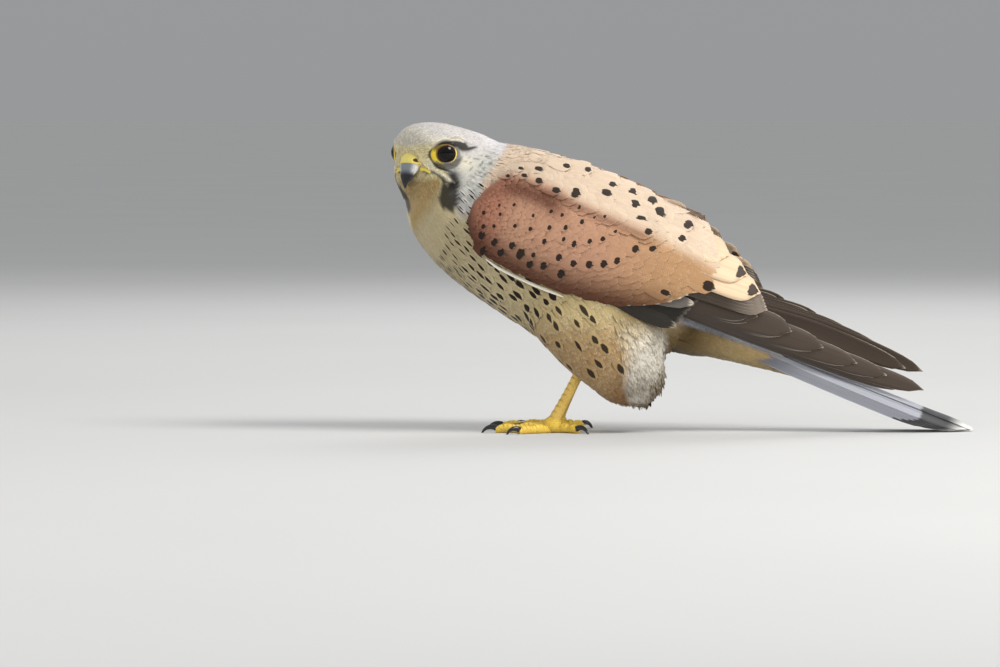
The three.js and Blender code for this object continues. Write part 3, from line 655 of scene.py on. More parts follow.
# %% Shader helpers and the feather group
def add(tree, kind, inputs=None, output=0, **settings):
    """A new shader node with its settings and inputs; an input is a value or another node's output."""
    made = tree.nodes.new("ShaderNode" + kind)
    for name, value in settings.items():
        setattr(made, name, value)
    for socket, value in (inputs or {}).items():
        if isinstance(value, bpy.types.NodeSocket):
            tree.links.new(value, made.inputs[socket])
        else:
            made.inputs[socket].default_value = value
    return made.outputs[output]


def several(tree, kind, inputs=None, **settings):
    """A new node's outputs, where more than one of them is used."""
    return add(tree, kind, inputs, **settings).node.outputs


def maths(tree, operation, a, b=0.0, clamp=False):
    """One step of arithmetic, on values or other nodes' outputs."""
    return add(tree, "Math", {0: a, 1: b}, operation=operation, use_clamp=clamp)


def ramp(tree, x, low, high):
    """A smooth step from 0 at low to 1 at high."""
    sizes = {0: x, 1: low, 2: high, 3: 0.0, 4: 1.0}
    return add(tree, "MapRange", sizes, interpolation_type="SMOOTHSTEP")


def mix(tree, share, a, b):
    """The colours a and b mixed by a share of b."""
    return add(tree, "Mix", {0: share, 6: a, 7: b}, output=2, data_type="RGBA")


def group(name, inputs, outputs):
    """An empty node group with named inputs (socket type and value) and outputs."""
    tree = bpy.data.node_groups.new(name, "ShaderNodeTree")
    for title, (kind, value) in inputs.items():
        tree.interface.new_socket(title, in_out="INPUT", socket_type=kind).default_value = value
    for title, kind in outputs.items():
        tree.interface.new_socket(title, in_out="OUTPUT", socket_type=kind)
    return tree, tree.nodes.new("NodeGroupInput").outputs, tree.nodes.new("NodeGroupOutput").inputs


# %% The feather group
FLOAT, COLOUR = "NodeSocketFloat", "NodeSocketColor"
PALE_EDGE = srgb(240, 226, 204)
g, given, out = group(
    "feather vane",
    {"Mark": (COLOUR, (*MARK, 1)), "Rim": (COLOUR, (*PALE_EDGE, 1)), "Barbs": (FLOAT, 14.0),
     "Fray": (FLOAT, 0.12), "Strands": (FLOAT, 0.3), "Rims on dark": (FLOAT, 0.0),
     "Roundness": (FLOAT, 2.4), "Rim blur": (FLOAT, 0.09), "Sides": (FLOAT, 0.3)},
    {"Color": COLOUR, "Height": FLOAT},
)
feather_group = g

# arithmetic inside the group: one value times, plus or less another
times, plus, less = (partial(maths, g, name) for name in ("MULTIPLY", "ADD", "SUBTRACT"))
vane_uv = add(g, "UVMap", uv_map="Vane")
trim = several(g, "Attribute", attribute_name="trim")
edge_strength, edge_width, shaft_darkness = several(g, "SeparateColor", {0: trim["Color"]})
mark = several(g, "Attribute", attribute_name="mark")
mark_wide, mark_place, mark_long = several(g, "SeparateColor", {0: mark["Color"]})
tone = add(g, "Attribute", attribute_name="tone")
vane = several(g, "SeparateXYZ", {0: vane_uv})
# strands: noise drawn out along the vane, different for every feather
drawn_out = {0: times(vane[0], 11.0), 1: vane[1], 2: times(trim["Alpha"], 60.0)}
strand_place = add(g, "CombineXYZ", drawn_out)
strands = add(g, "TexNoise", {"Vector": strand_place, "Scale": 1.0, "Detail": 2.0})
wobble = times(less(strands, 0.5), given["Fray"])
across = maths(g, "ABSOLUTE", less(times(vane[0], 2.0), 1.0))
along = plus(vane[1], wobble)
# the mark: 1 less the shares of its half length and half width, each to the power of its roundness
off_length = maths(g, "DIVIDE", maths(g, "ABSOLUTE", less(along, mark_place)), mark_long)
off_width = maths(g, "DIVIDE", plus(across, times(wobble, 0.5)), mark_wide)
far_along = maths(g, "POWER", off_length, given["Roundness"])
far_across = maths(g, "POWER", maths(g, "MAXIMUM", off_width, 0.0), given["Roundness"])
spot = times(ramp(g, less(1.0, plus(far_along, far_across)), -0.05, 0.3), mark["Alpha"])
# the barbs slant back from the shaft, and 6.283 makes each a full wave
stripes = maths(g, "SINE", times(less(along, times(across, 0.22)), times(given["Barbs"], 6.283)))
rim_start = less(1.02, given["Rim blur"])
tip_edge = ramp(g, plus(along, edge_width), rim_start, 1.02)
side_width = times(times(edge_width, 4.0), given["Sides"])
side_edge = times(ramp(g, plus(across, side_width), rim_start, 1.02), ramp(g, along, 0.78, 0.97))
side_edge = times(side_edge, given["Sides"])
rim = times(maths(g, "MAXIMUM", tip_edge, side_edge), edge_strength)
# soft body feathers have no pale edge where their ground colour is dark
lightness = add(g, "RGBToBW", {"Color": tone})
rim = times(rim, maths(g, "ADD", given["Rims on dark"], times(lightness, 2.2), clamp=True))
shaft = times(less(1.0, ramp(g, across, 0.03, 0.1)), shaft_darkness)
coloured = mix(g, spot, tone, given["Mark"])
coloured = mix(g, rim, coloured, given["Rim"])
coloured = mix(g, shaft, coloured, given["Mark"])
# strands darken and lighten the vane by up to their share, the barbs by a little
strand_shade = plus(1.0, times(less(strands, 0.52), given["Strands"]))
shade = times(strand_shade, plus(0.98, times(stripes, 0.03)))
shaded = add(g, "VectorMath", {0: coloured, "Scale": shade}, operation="SCALE")
g.links.new(shaded, out["Color"])
g.links.new(plus(plus(stripes, times(strands, 4.0)), times(shaft, 3.0)), out["Height"])
print("feather group nodes:", len(g.nodes))


# %% Materials of feathers and skin
def material(name, roughness=0.7, **sockets):
    """A new material: its tree and its Principled shader, with the plain sockets set."""
    made = bpy.data.materials.new(name)
    made.use_nodes = True
    shader = made.node_tree.nodes["Principled BSDF"]
    shader.inputs["Roughness"].default_value = roughness
    for socket, value in sockets.items():
        shader.inputs[socket.replace("_", " ")].default_value = value
    return made, made.node_tree, shader


def bumpy(tree, shader, strength, distance, height):
    """Lets a height, such as barbs or grain, stand out in the shading."""
    bump = add(tree, "Bump", {"Strength": strength, "Distance": distance, "Height": height})
    tree.links.new(bump, shader.inputs["Normal"])


def plumage(name, roughness=0.75, bump=0.25, **values):
    """A plumage material: the feather group with its own barbs, edge and mark colours. An input of
    the group that isn't named keeps the group's own value."""
    made, tree, shader = material(name, roughness, Sheen_Weight=0.2, Sheen_Roughness=0.5,
                                  Specular_IOR_Level=0.2)
    vane = tree.nodes.new("ShaderNodeGroup")
    vane.node_tree = feather_group
    for socket, value in values.items():
        vane.inputs[socket.replace("_", " ")].default_value = value
    tree.links.new(vane.outputs["Color"], shader.inputs["Base Color"])
    bumpy(tree, shader, bump, 0.00012, vane.outputs["Height"])
    return made


def opaque(*levels):
    """A colour from screen levels with full cover, as colour inputs want it."""
    return (*srgb(*levels), 1)


soft_plumage = plumage("soft plumage", 0.85, 0.3, Barbs=9.0, Fray=0.25, Strands=0.45, Roundness=1.5)
covert_plumage = plumage("covert plumage", 0.72, 0.2, Fray=0.16, Rims_on_dark=0.7)
flight_plumage = plumage("flight plumage", 0.5, 0.12, Barbs=70.0, Rim=opaque(214, 204, 188),
                         Mark=opaque(64, 54, 46), Fray=0.03, Strands=0.35, Rims_on_dark=1.0,
                         Rim_blur=0.02, Sides=0.9)
tail_plumage = plumage("tail plumage", 0.55, 0.12, Barbs=80.0, Rim=opaque(245, 244, 240),
                       Mark=opaque(30, 28, 28), Fray=0.03, Strands=0.25, Rims_on_dark=1.0)


def noise_of(tree, scale, detail=3.0):
    """Noise in the object's own coordinates."""
    place = add(tree, "TexCoord", output="Object")
    return add(tree, "TexNoise", {"Vector": place, "Scale": scale, "Detail": detail})


def mottled(name, roughness, scale, share, dab, strength, distance, **sockets):
    """A material with its colour in tone, a second colour dabbed over it by noise up to a share,
    and a bump of the same noise."""
    made, tree, shader = material(name, roughness, **sockets)
    noise = noise_of(tree, scale)
    ground = add(tree, "Attribute", attribute_name="tone")
    dabbed = mix(tree, maths(tree, "MULTIPLY", noise, share), ground, dab)
    tree.links.new(dabbed, shader.inputs["Base Color"])
    bumpy(tree, shader, strength, distance, noise)
    return made


skin_material = mottled("down and skin", 0.9, 700.0, 0.35, (0.12, 0.1, 0.09, 1), 0.4, 0.0003,
                        Sheen_Weight=0.2)


def solid(name, tube, material, slot, tones, replaces=()):
    """A closed tube of rings as a piece with a ground colour."""
    faces = outwards(tube, capped(tube))
    piece(name, tube, faces, material, slot, replaces, colours={"tone": tones})


piece("skin", skin_points, skin_faces, skin_material, "plumage_breast",
      ("head", "neck", "torso", "thigh_left", "thigh_right"),
      colours={"tone": coat_colour(skin_points)})

# %% [markdown]
# ## One way to make every feather
#
# A feather is a small grid: rows from root to tip and columns from edge to edge. Its outline is
# the half width of each row. Thousands are made at once as one array with four axes: feather,
# row, column and coordinate. What differs from tract to tract is only how the grid is laid on
# the bird: over the form's field, or on the folded wing's own sheet.


# %% Feather grids
def outline(rows, *pairs, bunch=0.85):
    """Row places and half widths of a vane, from (place, half width) pairs. The rows are equal steps
    to the power bunch, so above 1 the last rows are longer."""
    s = np.linspace(0, 1, rows) ** bunch
    return s, through(*pairs)(s)


def each(values):
    """One value per feather, to be met with its rows and columns."""
    return values[:, None, None]


def flat_vanes(length, width, shape, columns, fringe=0.0, sweep=0.3):
    """Local x across and y along for each feather, row and column. The columns' ends lag behind
    the shaft by a share of the width, and a fringe cuts the tip row into points, no deeper than
    the last row's step."""
    s, half = shape
    c = np.linspace(-1, 1, columns)
    x = each(width) / 2 * half[None, :, None] * c
    y = each(length) * s[None, :, None] - sweep * each(width) * c**2 * (s**2)[None, :, None] / 2
    ragged = 0.35 + 0.65 * random.random((len(length), columns))
    cut = min(fringe, 0.85 * (1 - s[-2])) * length[:, None] * ragged
    y[:, -1] -= cut * (np.arange(columns) % 2)
    return x, y


def vane_maps(count, shape, columns, narrowest=0.35):
    """The vane's own map: U across by the outline's width, down to its narrowest share, V along."""
    s, half = shape
    c = np.linspace(-1, 1, columns)
    u = 0.5 + 0.5 * c[None, :] * np.maximum(half, narrowest)[:, None]
    v = np.broadcast_to(s[:, None], u.shape)
    return np.broadcast_to(np.stack([u, v], -1), (count, *u.shape, 2))


PATCH = 0.003  # a vane's size on the form's unwrap
PLAIN = (0.01, 0.5, 0.01, 0)  # the mark of a feather that has none


def bake_maps(places, vane):
    """Each feather's patch at its root's place on the form's unwrap."""
    return places[:, None, None, :] + PATCH * (vane - 0.5)


def many_faces(count, rows, columns):
    """The faces of count grids, one after the other."""
    one = grid_faces(rows, columns)
    return (one[None] + rows * columns * np.arange(count)[:, None, None]).reshape(-1, 4)


def per_point(values, rows, columns):
    """One value per feather, repeated for each of its points."""
    return np.repeat(np.asarray(values, float), rows * columns, axis=0)


def vary(values, share):
    """Values with a seeded spread of that share."""
    return values * (1 + share * scatter(np.shape(values)))


def feathered(name, points, faces, material, slot, vane, bake, looks, replaces=()):
    """A piece made of vanes, with both maps. looks are tone, mark and trim at each point."""
    piece(name, points, faces, material, slot, replaces, uvs={"Vane": vane, "OFBake": bake},
          colours=dict(zip(("tone", "mark", "trim"), looks)))


def coat(name, roots, heading, length, width, lift, marks, trims, places, shape, material, slot,
         columns=5, fringe=0.0, cup=0.05, free=0.0, spread=0.05, rise=0.5, replaces=()):
    """A coat piece on the form: each vane starts at its root on the skin, runs along its heading
    and rises to its lift over the form, with its edges a little lower than its shaft. A free
    share lets the outer part of a vane stand away straight instead of following the form."""
    count, rows = len(roots), len(shape[0])
    roots, out = settle(roots, -coat_depth(roots), steps=2)
    heading = unit(heading - np.sum(heading * out, -1, keepdims=True) * out)
    side = np.cross(heading, out)
    x, y = flat_vanes(length, width, shape, columns, fringe)
    straight = each(roots) + x[..., None] * each(side) + y[..., None] * each(heading)
    s = shape[0][None, :, None]
    c = np.linspace(-1, 1, columns)[None, None]
    start = -1.1 * each(coat_depth(roots))
    level = start + (each(lift) - start) * s**rise - cup * each(width) * c**2 * (0.3 + 0.7 * s)
    points, _ = settle(straight, level, steps=2)
    loose = (each(np.broadcast_to(free, count)) * ease(0.3, 0.9, s))[..., None]
    points = points * (1 - loose) + (straight + (level + 1.2)[..., None] * each(out)) * loose
    tones = coat_colour(points.reshape(-1, 3))
    tones = tones * per_point(vary(np.ones(count), spread)[:, None], rows, columns)
    vane = vane_maps(count, shape, columns)
    marks = np.broadcast_to(marks, (count, 4))
    lots = np.hstack([np.broadcast_to(trims, (count, 3)), random.random((count, 1))])
    looks = np.clip(tones, 0, 1), per_point(marks, rows, columns), per_point(lots, rows, columns)
    feathered(name, points, many_faces(count, rows, columns)[:, ::-1], material, slot, vane,
              bake_maps(places, vane), looks, replaces)


# %% [markdown]
# ## Body coat
#
# Contour feathers grow in rings along the body, each row set half a step from the last, as tiles
# are. They are small at the neck and largest on back and flanks. Those that the folded wings
# would hide are left out. Over the plain ones lie the marked ones in even rows: narrow shaft
# streaks on the breast that widen to drops on the flanks, and dark half moons on the back. Hair
# particles could cover the form faster, but they have no vane with an outline and a mark.

# %% Wing coordinates, body tracts
WRIST = np.array([-108.2, 103.9])
WING_PITCH = {1: np.radians(19.2), -1: np.radians(18.5)}
RIGHT_WING_AHEAD = 3
wing_low = through(
    (-9, 3), (-5, -3), (5, -8.5), (33, -12.4), (59, -12.7), (111, -8.5), (140, -8.2), (169, -7.4),
    (194, -4.8), (228, -0.3), (249, 1)
)
wing_high = through(
    (-9, 17), (-5, 27), (5, 37), (30, 45), (50, 47.5), (62, 46.5), (75, 44), (100, 42), (125, 37),
    (150, 27), (152, 20)
)


def wing_coords(p, side):
    """Back along the folded wing and up across it."""
    x = p[..., 0] - WRIST[0] + (side < 0) * RIGHT_WING_AHEAD
    z = p[..., 2] - WRIST[1]
    pitch = WING_PITCH[side]
    return x * np.cos(pitch) - z * np.sin(pitch), x * np.sin(pitch) + z * np.cos(pitch)


def under_wing(p, margin):
    """Whether a point of the flank lies under a folded wing by more than the margin."""
    hidden = np.zeros(p.shape[:-1], bool)
    for side in SIDES:
        u, v = wing_coords(p, side)
        inside = (u > margin - 6) & (u < 98) & (v > wing_low(u) + margin) & (v < wing_high(u) - margin)
        hidden |= inside & (p[..., 1] * side < -8)
    return hidden


def ring_roots(starts, row_step, column_step, girth, place, loose=0.28):
    """Roots in staggered rings: row steps and column steps are functions of the place along."""
    roots, places = [], []
    at, row = starts[0], 0
    while at < starts[1]:
        count = max(3, int(girth(at) / column_step(at)))
        slot = np.arange(count) + 0.5 * (row % 2) + loose * scatter(count)
        angle = 2 * np.pi * slot / count
        along = at + loose * row_step(at) * scatter(count)
        roots.append(place(along, angle))
        share = (along - starts[0]) / (starts[1] - starts[0])
        places.append(0.02 + 0.96 * np.stack([np.clip(share, 0, 1), angle / (2 * np.pi) % 1], -1))
        at += row_step(at)
        row += 1
    return np.vstack(roots), np.vstack(places)


def round_place(span, wide, at):
    """Points on a tube of soft ellipses at s along it and an angle round it, 0 at the top."""
    def place(s, angle):
        middle, half = span(s)
        return at(s, middle + half * np.cos(angle), wide(s) * np.sin(angle))
    return place


def girth_of(span, wide):
    """About how far it is round the tube at s: pi times the sum of its two half axes."""
    return lambda s: np.pi * (wide(s) + span(s)[1])


def rows_over(values):
    """A list of per-feather values side by side as one array."""
    return np.stack(np.broadcast_arrays(*values), -1)


body_place = round_place(body_span, body_wide, body_at)
body_girth = girth_of(body_span, body_wide)
DOWN_THIGH = np.array([0.5, 0, -0.87])


def lie(p):
    """The way feathers point: back along the head, back along the body, down the thighs."""
    t, n, y = body_coords(p)
    f, l, u = head_coords(p)
    u_tail, _ = tail_coords(p)
    fall = np.array([0, 0, -1.0])
    head_back = -HEAD_AXES[:, 0] + fall * ease(9, -9, u)[..., None] - 0.25 * HEAD_AXES[:, 2]
    body_back = BODY_AXIS + 0.3 * fall * ease(5, -30, n)[..., None]
    made = blend(body_back, unit(head_back), ease(26, -6, t + 0.25 * np.maximum(-n, 0)))
    on_thigh = ease(4, -3, thigh_field(p)) * ease(-3, 3, body_field(p))
    made = blend(made, DOWN_THIGH, on_thigh)
    back_tail = np.array([np.cos(TAIL_PITCH), 0, -np.sin(TAIL_PITCH)])
    return unit(blend(made, back_tail, ease(-12, 6, u_tail)))


def clear_of_others(p, own):
    """Whether roots of one form lie outside the forms that it melts into."""
    fields = {"body": body_field, "head": head_field, "thigh": thigh_field, "coverts": covert_field}
    return np.all([field(p) > 0.4 for name, field in fields.items() if name != own], axis=0)


def under_field(t, n):
    """Where the streaked underparts are: from below the throat to the vent."""
    return ease(3, 12, t + 0.2 * n) * ease(128, 112, t) * (n < 8)


contour = outline(5, (0, 0.5), (0.3, 0.85), (0.7, 1), (0.9, 0.85), (1, 0.5))
narrow = outline(5, (0, 0.5), (0.3, 0.9), (0.65, 1), (0.88, 0.75), (1, 0.3))

row_step = through((-6, 0.8), (14, 1.1), (30, 1.6), (60, 1.9), (120, 2.3), (162, 2.4))
column_step = through((-6, 0.75), (14, 1.0), (30, 1.4), (60, 1.6), (120, 2.0), (162, 2.1))
found, places = ring_roots((-6, BODY_END + 4), row_step, column_step, body_girth, body_place)
keep = ~under_wing(found, 10) & clear_of_others(found, "body")
found, places = found[keep], places[keep]
t, n, _ = body_coords(found)
slim = outline(5, (0, 0.5), (0.3, 0.95), (0.6, 1), (0.85, 0.7), (1, 0.35), bunch=1.1)
tracts = (("neck_coat", t < 28, 0.3, 0.27, slim), ("breast_coat", (t >= 28) & (n < 6), 0.22, 0.34, narrow),
          ("back_coat", (t >= 28) & (n >= 6), 0.1, 0.42, contour))
for title, chosen, fringe, slimness, shape in tracts:
    p, along = found[chosen], t[chosen]
    size = through((-6, 4.0), (14, 5.2), (30, 6.8), (60, 9.5), (110, 11.5), (162, 12.5))(along)
    size = vary(3.4 + (size - 3.4) * ease(0, 16, head_field(p)), 0.1)
    heading = lie(p) + 0.07 * scatter(p.shape)
    lift = vary(0.04 + 0.06 * ease(16, 30, along), 0.4)
    flecked = 0.5 * (random.random(len(p)) < 0.1) * under_field(along, n[chosen])
    coat(title, p, heading, size, slimness * size, lift, rows_over([0.22, 0.6, 0.42, flecked]),
         [0.12, 0.06, 0.03], places[chosen], shape, soft_plumage, "plumage_breast", fringe=fringe)


# %% Streaks of the breast, spots of the back
def marked_coat(name, roots, places, size, wide, half_wide, at, half_long, strength, slot="plumage_breast"):
    """The marked feathers: a sparse upper layer whose ground colour matches the plain ones. The
    mark's half width, place and half length are shares of the feather, strength its darkness."""
    count = len(roots)
    size, wide, half_wide, half_long = (np.broadcast_to(value, count)
                                        for value in (size, wide, half_wide, half_long))
    marks = rows_over([vary(half_wide, 0.14), at, vary(half_long, 0.12), strength])
    heading = lie(roots) + 0.05 * scatter(roots.shape)
    coat(name, roots, heading, vary(size, 0.06), vary(wide, 0.06), vary(np.full(count, 0.45), 0.15),
         marks, [0.15, 0.05, 0.0], places, contour, soft_plumage, slot, fringe=0.14, cup=0.06, spread=0.02,
         rise=0.12)


row_step = through((1, 4.6), (45, 7.5), (80, 8.6), (126, 9))
column_step = through((1, 2.6), (45, 4.6), (80, 6.2), (126, 7))
found, places = ring_roots((1, 126), row_step, column_step, body_girth, body_place, loose=0.2)
t, n, _ = body_coords(found)
strength = under_field(t, n)
keep = ~under_wing(found, 6) & clear_of_others(found, "body") & (strength > 0.2)
found, places, t, strength = found[keep], places[keep], t[keep], strength[keep]
drop = ease(18, 62, t)
near = ease(22, 8, t)
marked_coat("breast_streaks", found, places, 8.5 + 2.5 * drop - 2.4 * near,
            2.6 + 2.6 * drop - 0.6 * near, 0.44 + 0.14 * drop, 0.62, 0.4 - 0.06 * drop, 0.8 + 0.2 * strength)

found, places = ring_roots((24, 112), lambda a: 10, lambda a: 8.5, body_girth, body_place, loose=0.12)
t, n, _ = body_coords(found)
keep = ~under_wing(found, 4) & (n > 12)
found, places, t = found[keep], places[keep], t[keep]
marked_coat("back_spots", found, places, 11, 6.4, 0.5, 0.82, 0.15, 0.95 * ease(24, 30, t))

# %% [markdown]
# ## Tail coverts
#
# Short blue-grey feathers run from the rump over the tail's roots, and longer buff ones below. The
# tail could start bare behind the rump, but then its roots would show as a gap from the side.

# %% Tail coverts
found, places = ring_roots((-14, 74), lambda a: 2.8, lambda a: 2.0, girth_of(covert_span, covert_wide),
                           round_place(covert_span, covert_wide, tail_at))
keep = clear_of_others(found, "coverts")
found, places = found[keep], places[keep]
u, n = tail_coords(found)
size = vary(through((-14, 12), (40, 14), (74, 9))(u), 0.1)
size = np.minimum(size, 86 - u)
heading = lie(found) + 0.06 * scatter(found.shape)
coat("tail_coverts", found, heading, size, size * 0.38, vary(np.full(len(u), 0.15), 0.6), PLAIN,
     [0.08, 0.06, 0.05], places, contour, soft_plumage, "plumage_tail", fringe=0.15)

# %% [markdown]
# ## Head coat
#
# The face has the smallest feathers of the bird, a millimetre or two long, and they lie flat from
# the bill backwards. They part around the eye and the base of the bill, where the bare skin is.
# Roots could be strewn at random, but rings that narrow with the head keep them even.

# %% Head coat
from_front = round_place(head_span, head_wide, head_at)
back_steps = through((-27, 0.5), (-18, 0.46), (6, 0.62), (27.5, 0.9))
found, places = ring_roots((-27, 27), back_steps, lambda a: 0.95 * back_steps(a),
                           lambda a: girth_of(head_span, head_wide)(-a),
                           lambda a, angle: from_front(-a, angle))


def eye_frame(side):
    """The middle of an eyeball, the way out, forward along the face, and up. side 1 is the left."""
    out = unit(HEAD_AXES @ np.array([np.cos(EYE_OUTWARDS), side * np.sin(EYE_OUTWARDS), 0.05]))
    ahead = unit(np.cross([0, 0, 1], out)) * -side
    above = np.cross(out, ahead) * -side
    above = above * np.sign(above[2])
    return head_point(EYE[0], side * EYE[1], EYE[2]) - LID_HEIGHT * out, out, ahead, above


# half the breadth of the bare lid, by the angle in degrees from ahead, upwards positive
lid_breadth = through(
    (-180, 0.52), (-120, 0.38), (-90, 0.5), (-53, 1.25), (-20, 1.7), (0, 1.75), (25, 1.4), (50, 0.8),
    (90, 0.38), (135, 0.4), (180, 0.5)
)
LID_INSIDE = 4.7  # radius of the lids' opening


def off_lid(p, side):
    """How far outside the lid's outer edge a point lies, seen along the eye's axis."""
    middle, out, ahead, above = eye_frame(side)
    d = p - middle
    angle = np.degrees(np.arctan2(d @ above, d @ ahead))
    return np.hypot(d @ ahead, d @ above) - LID_INSIDE - 2 * lid_breadth(angle) + 50 * ((d @ out) < 0)


# the tube of rings is open in front: more rings close in on the bill over the face's flat front
share = np.repeat(np.linspace(0.97, 0.35, 16), 64)
slot = np.tile(np.arange(64), 16) + 0.5 * (np.arange(1024) // 64 % 2) + 0.3 * scatter(1024)
angle = 2 * np.pi * slot / 64
middle, half = head_span(HEAD_FRONT)
across = share * head_wide(HEAD_FRONT) * np.sin(angle)
face_front = head_point(HEAD_FRONT, across, middle + share * half * np.cos(angle))
found = np.vstack([found, face_front])
places = np.vstack([places, np.stack([0.985 + 0.012 * share, (angle / (2 * np.pi)) % 1], -1)])
f, l, u = head_coords(found)
keep = (body_field(found) > 0.3) & (off_lid(found, 1) > -0.4) & (off_lid(found, -1) > -0.4)
bill_half = 7.0 - 0.25 * np.maximum(u - 7, 0)
keep &= ~((f > 19.6) & (np.abs(l) < bill_half) & (u > 1.6) & (u < 12.2))
found, places = found[keep], places[keep]
f, l, u = head_coords(found)
size = vary(through((-27, 4.2), (-10, 3.6), (8, 2.8), (22, 2.0), (27, 1.6))(f), 0.12)
streaks = ease(4, 12, u) * ease(19, 14, f) * (random.random(len(f)) < 0.3)
small = outline(4, (0, 0.6), (0.5, 1), (0.85, 0.8), (1, 0.3))
heading = lie(found) + 0.1 * scatter(found.shape)
coat("head_coat", found, heading, size, size * 0.29, vary(np.full(len(f), 0.05), 0.5),
     rows_over([0.3, 0.62, 0.45, 0.6 * streaks]), [0.25, 0.08, 0.03], places, small, soft_plumage,
     "plumage_head", columns=3, cup=0.03, spread=0.06 + 0.07 * ease(12, 19, f))

# %% [markdown]
# ## Thighs
#
# The long loose feathers of the thighs hang like trousers and end in soft points. At the rear
# they turn into white down that stands away from the leg: vanes with deep fringes, since single
# hairs would cost far more and look the same from a step away.

# %% Thigh coat
THIGH_SPAN = THIGH_LOW + THIGH_HIGH  # less the height, it is a place that runs downwards


def thigh_place(side):
    """Points on one thigh at a place a down it and an angle round it, 0 behind."""
    def place(a, angle):
        z = THIGH_SPAN - a
        return thigh_at(side)(z, thigh_long(z) * np.cos(angle), thigh_wide(z) * np.sin(angle))
    return place


def thigh_girth(a):
    """About how far it is round a thigh."""
    return np.pi * (thigh_long(THIGH_SPAN - a) + thigh_wide(THIGH_SPAN - a))


def both_thighs(span, row_step, column_step, loose=0.28):
    """Roots on both thighs, with their places on the two halves of the unwrap."""
    made = [ring_roots(span, row_step, column_step, thigh_girth, thigh_place(side), loose) for side in SIDES]
    places = [places * [0.48, 1] + [0.5 * k, 0] for k, (_, places) in enumerate(made)]
    return np.vstack([roots for roots, _ in made]), np.vstack(places)


found, places = both_thighs((14, 83), through((14, 2.6), (60, 2.2), (83, 1.4)),
                            through((14, 2.4), (60, 1.9), (83, 1.4)))
keep = clear_of_others(found, "thigh") & ~under_wing(found, 8)
found, places = found[keep], places[keep]
z = found[:, 2]
rear = thigh_rear(found)
size = vary(np.interp(z, [14, 22, 32, 60], [3, 7, 10, 12]), 0.1)
loose_shape = outline(6, (0, 0.45), (0.3, 0.8), (0.7, 1), (0.9, 0.75), (1, 0.4), bunch=1.2)
heading = lie(found) + 0.08 * scatter(found.shape)
coat("thigh_coat", found, heading, size, size * 0.34, 0.12 + 0.5 * rear * random.random(len(z)), PLAIN,
     rows_over([0.3, 0.06, 0.05 * (1 - rear)]), places, loose_shape, soft_plumage, "plumage_thigh",
     fringe=0.28, free=0.55 * rear)

found, places = both_thighs((14, 58), lambda a: 10.5, lambda a: 8.0, loose=0.24)
z = found[:, 2]
keep = clear_of_others(found, "thigh") & ~under_wing(found, 6) & (found[:, 0] - thigh_middle(z) < 8)
found, places, z = found[keep], places[keep], z[keep]
marked_coat("thigh_drops", found, places, 11.5, 5.4, 0.52, 0.6, 0.29, 0.95, "plumage_thigh")

# the white down: tufts that hang free behind and below the leg
found, places = both_thighs((30, 83), lambda a: 1.7, lambda a: 1.6)
z = found[:, 2]
rear = thigh_rear(found)
keep = clear_of_others(found, "thigh") & (rear > 0.2) & (random.random(len(z)) < 0.9)
found, places, z, rear = found[keep], places[keep], z[keep], rear[keep]
size = vary(np.interp(z, [14, 22, 32, 60], [3, 8, 11, 11]), 0.14)
heading = np.array([0.32, 0, -0.93]) + 0.17 * scatter(found.shape)
down_shape = outline(6, (0, 0.5), (0.3, 0.9), (0.7, 1), (0.9, 0.8), (1, 0.5), bunch=1.5)
coat("trouser_down", found, heading, size, size * 0.22, 0.4 + 0.6 * random.random(len(z)), PLAIN,
     [0.4, 0.1, 0.0], places, down_shape, soft_plumage, "plumage_thigh", columns=7, fringe=0.36,
     free=0.95, spread=0.03)

# %% [markdown]
# ## The folded wing's sheet
#
# A folded wing is a stack of thin tiers. All of them are laid on one curved sheet over the flank,
# with u back along the wing, v up across it and n outwards, so that tiers keep their order and
# slide over one another without cutting in. A spread wing could be folded by bones instead, but
# its feathers would cut through each other.

# %% Wing sheet
sheet_depth = through(
    (-9, 30), (0, 33), (20, 35), (60, 35.5), (100, 33.5), (140, 26.5), (180, 19), (220, 12.5), (250, 9.5)
)
sheet_middle = through((0, 14), (60, 10), (100, 8), (140, 6), (180, 2), (220, -2), (250, -3))
sheet_lower = through((0, 48), (60, 46), (100, 41), (140, 34), (180, 27), (250, 22))
sheet_upper = through(
    (0, 46), (30, 45), (60, 43), (80, 40.4), (100, 37.6), (120, 34.5), (130, 32.5), (140, 30.5),
    (160, 25), (180, 20), (250, 15)
)
right_wing_lift = through((60, 0), (100, 2), (125, 4), (160, 9), (195, 11), (249, 7))


def sheet_point(side, u, v):
    """The sheet's point: an arc of an ellipse over the flank at each u, turned by the wing's pitch."""
    pitch = WING_PITCH[side]
    rise = v + (side < 0) * right_wing_lift(u)
    x = WRIST[0] - (side < 0) * RIGHT_WING_AHEAD + u * np.cos(pitch) + rise * np.sin(pitch)
    z = WRIST[1] - u * np.sin(pitch) + rise * np.cos(pitch)
    above = v - sheet_middle(u)
    share = np.minimum(0.985, np.abs(above) / np.where(above > 0, sheet_upper(u), sheet_lower(u)))
    return np.stack([x, -side * sheet_depth(u) * np.sqrt(1 - share**2), z], -1)


def wing_point(side, u, v, n):
    """The place at height n over the sheet, along its normal."""
    along = sheet_point(side, u + 2, v) - sheet_point(side, u - 2, v)
    up = sheet_point(side, u, v + 2) - sheet_point(side, u, v - 2)
    out = unit(np.cross(up, along))
    out = out * -np.sign(out[..., 1:2] * side)
    return sheet_point(side, u, v) + np.asarray(n)[..., None] * out


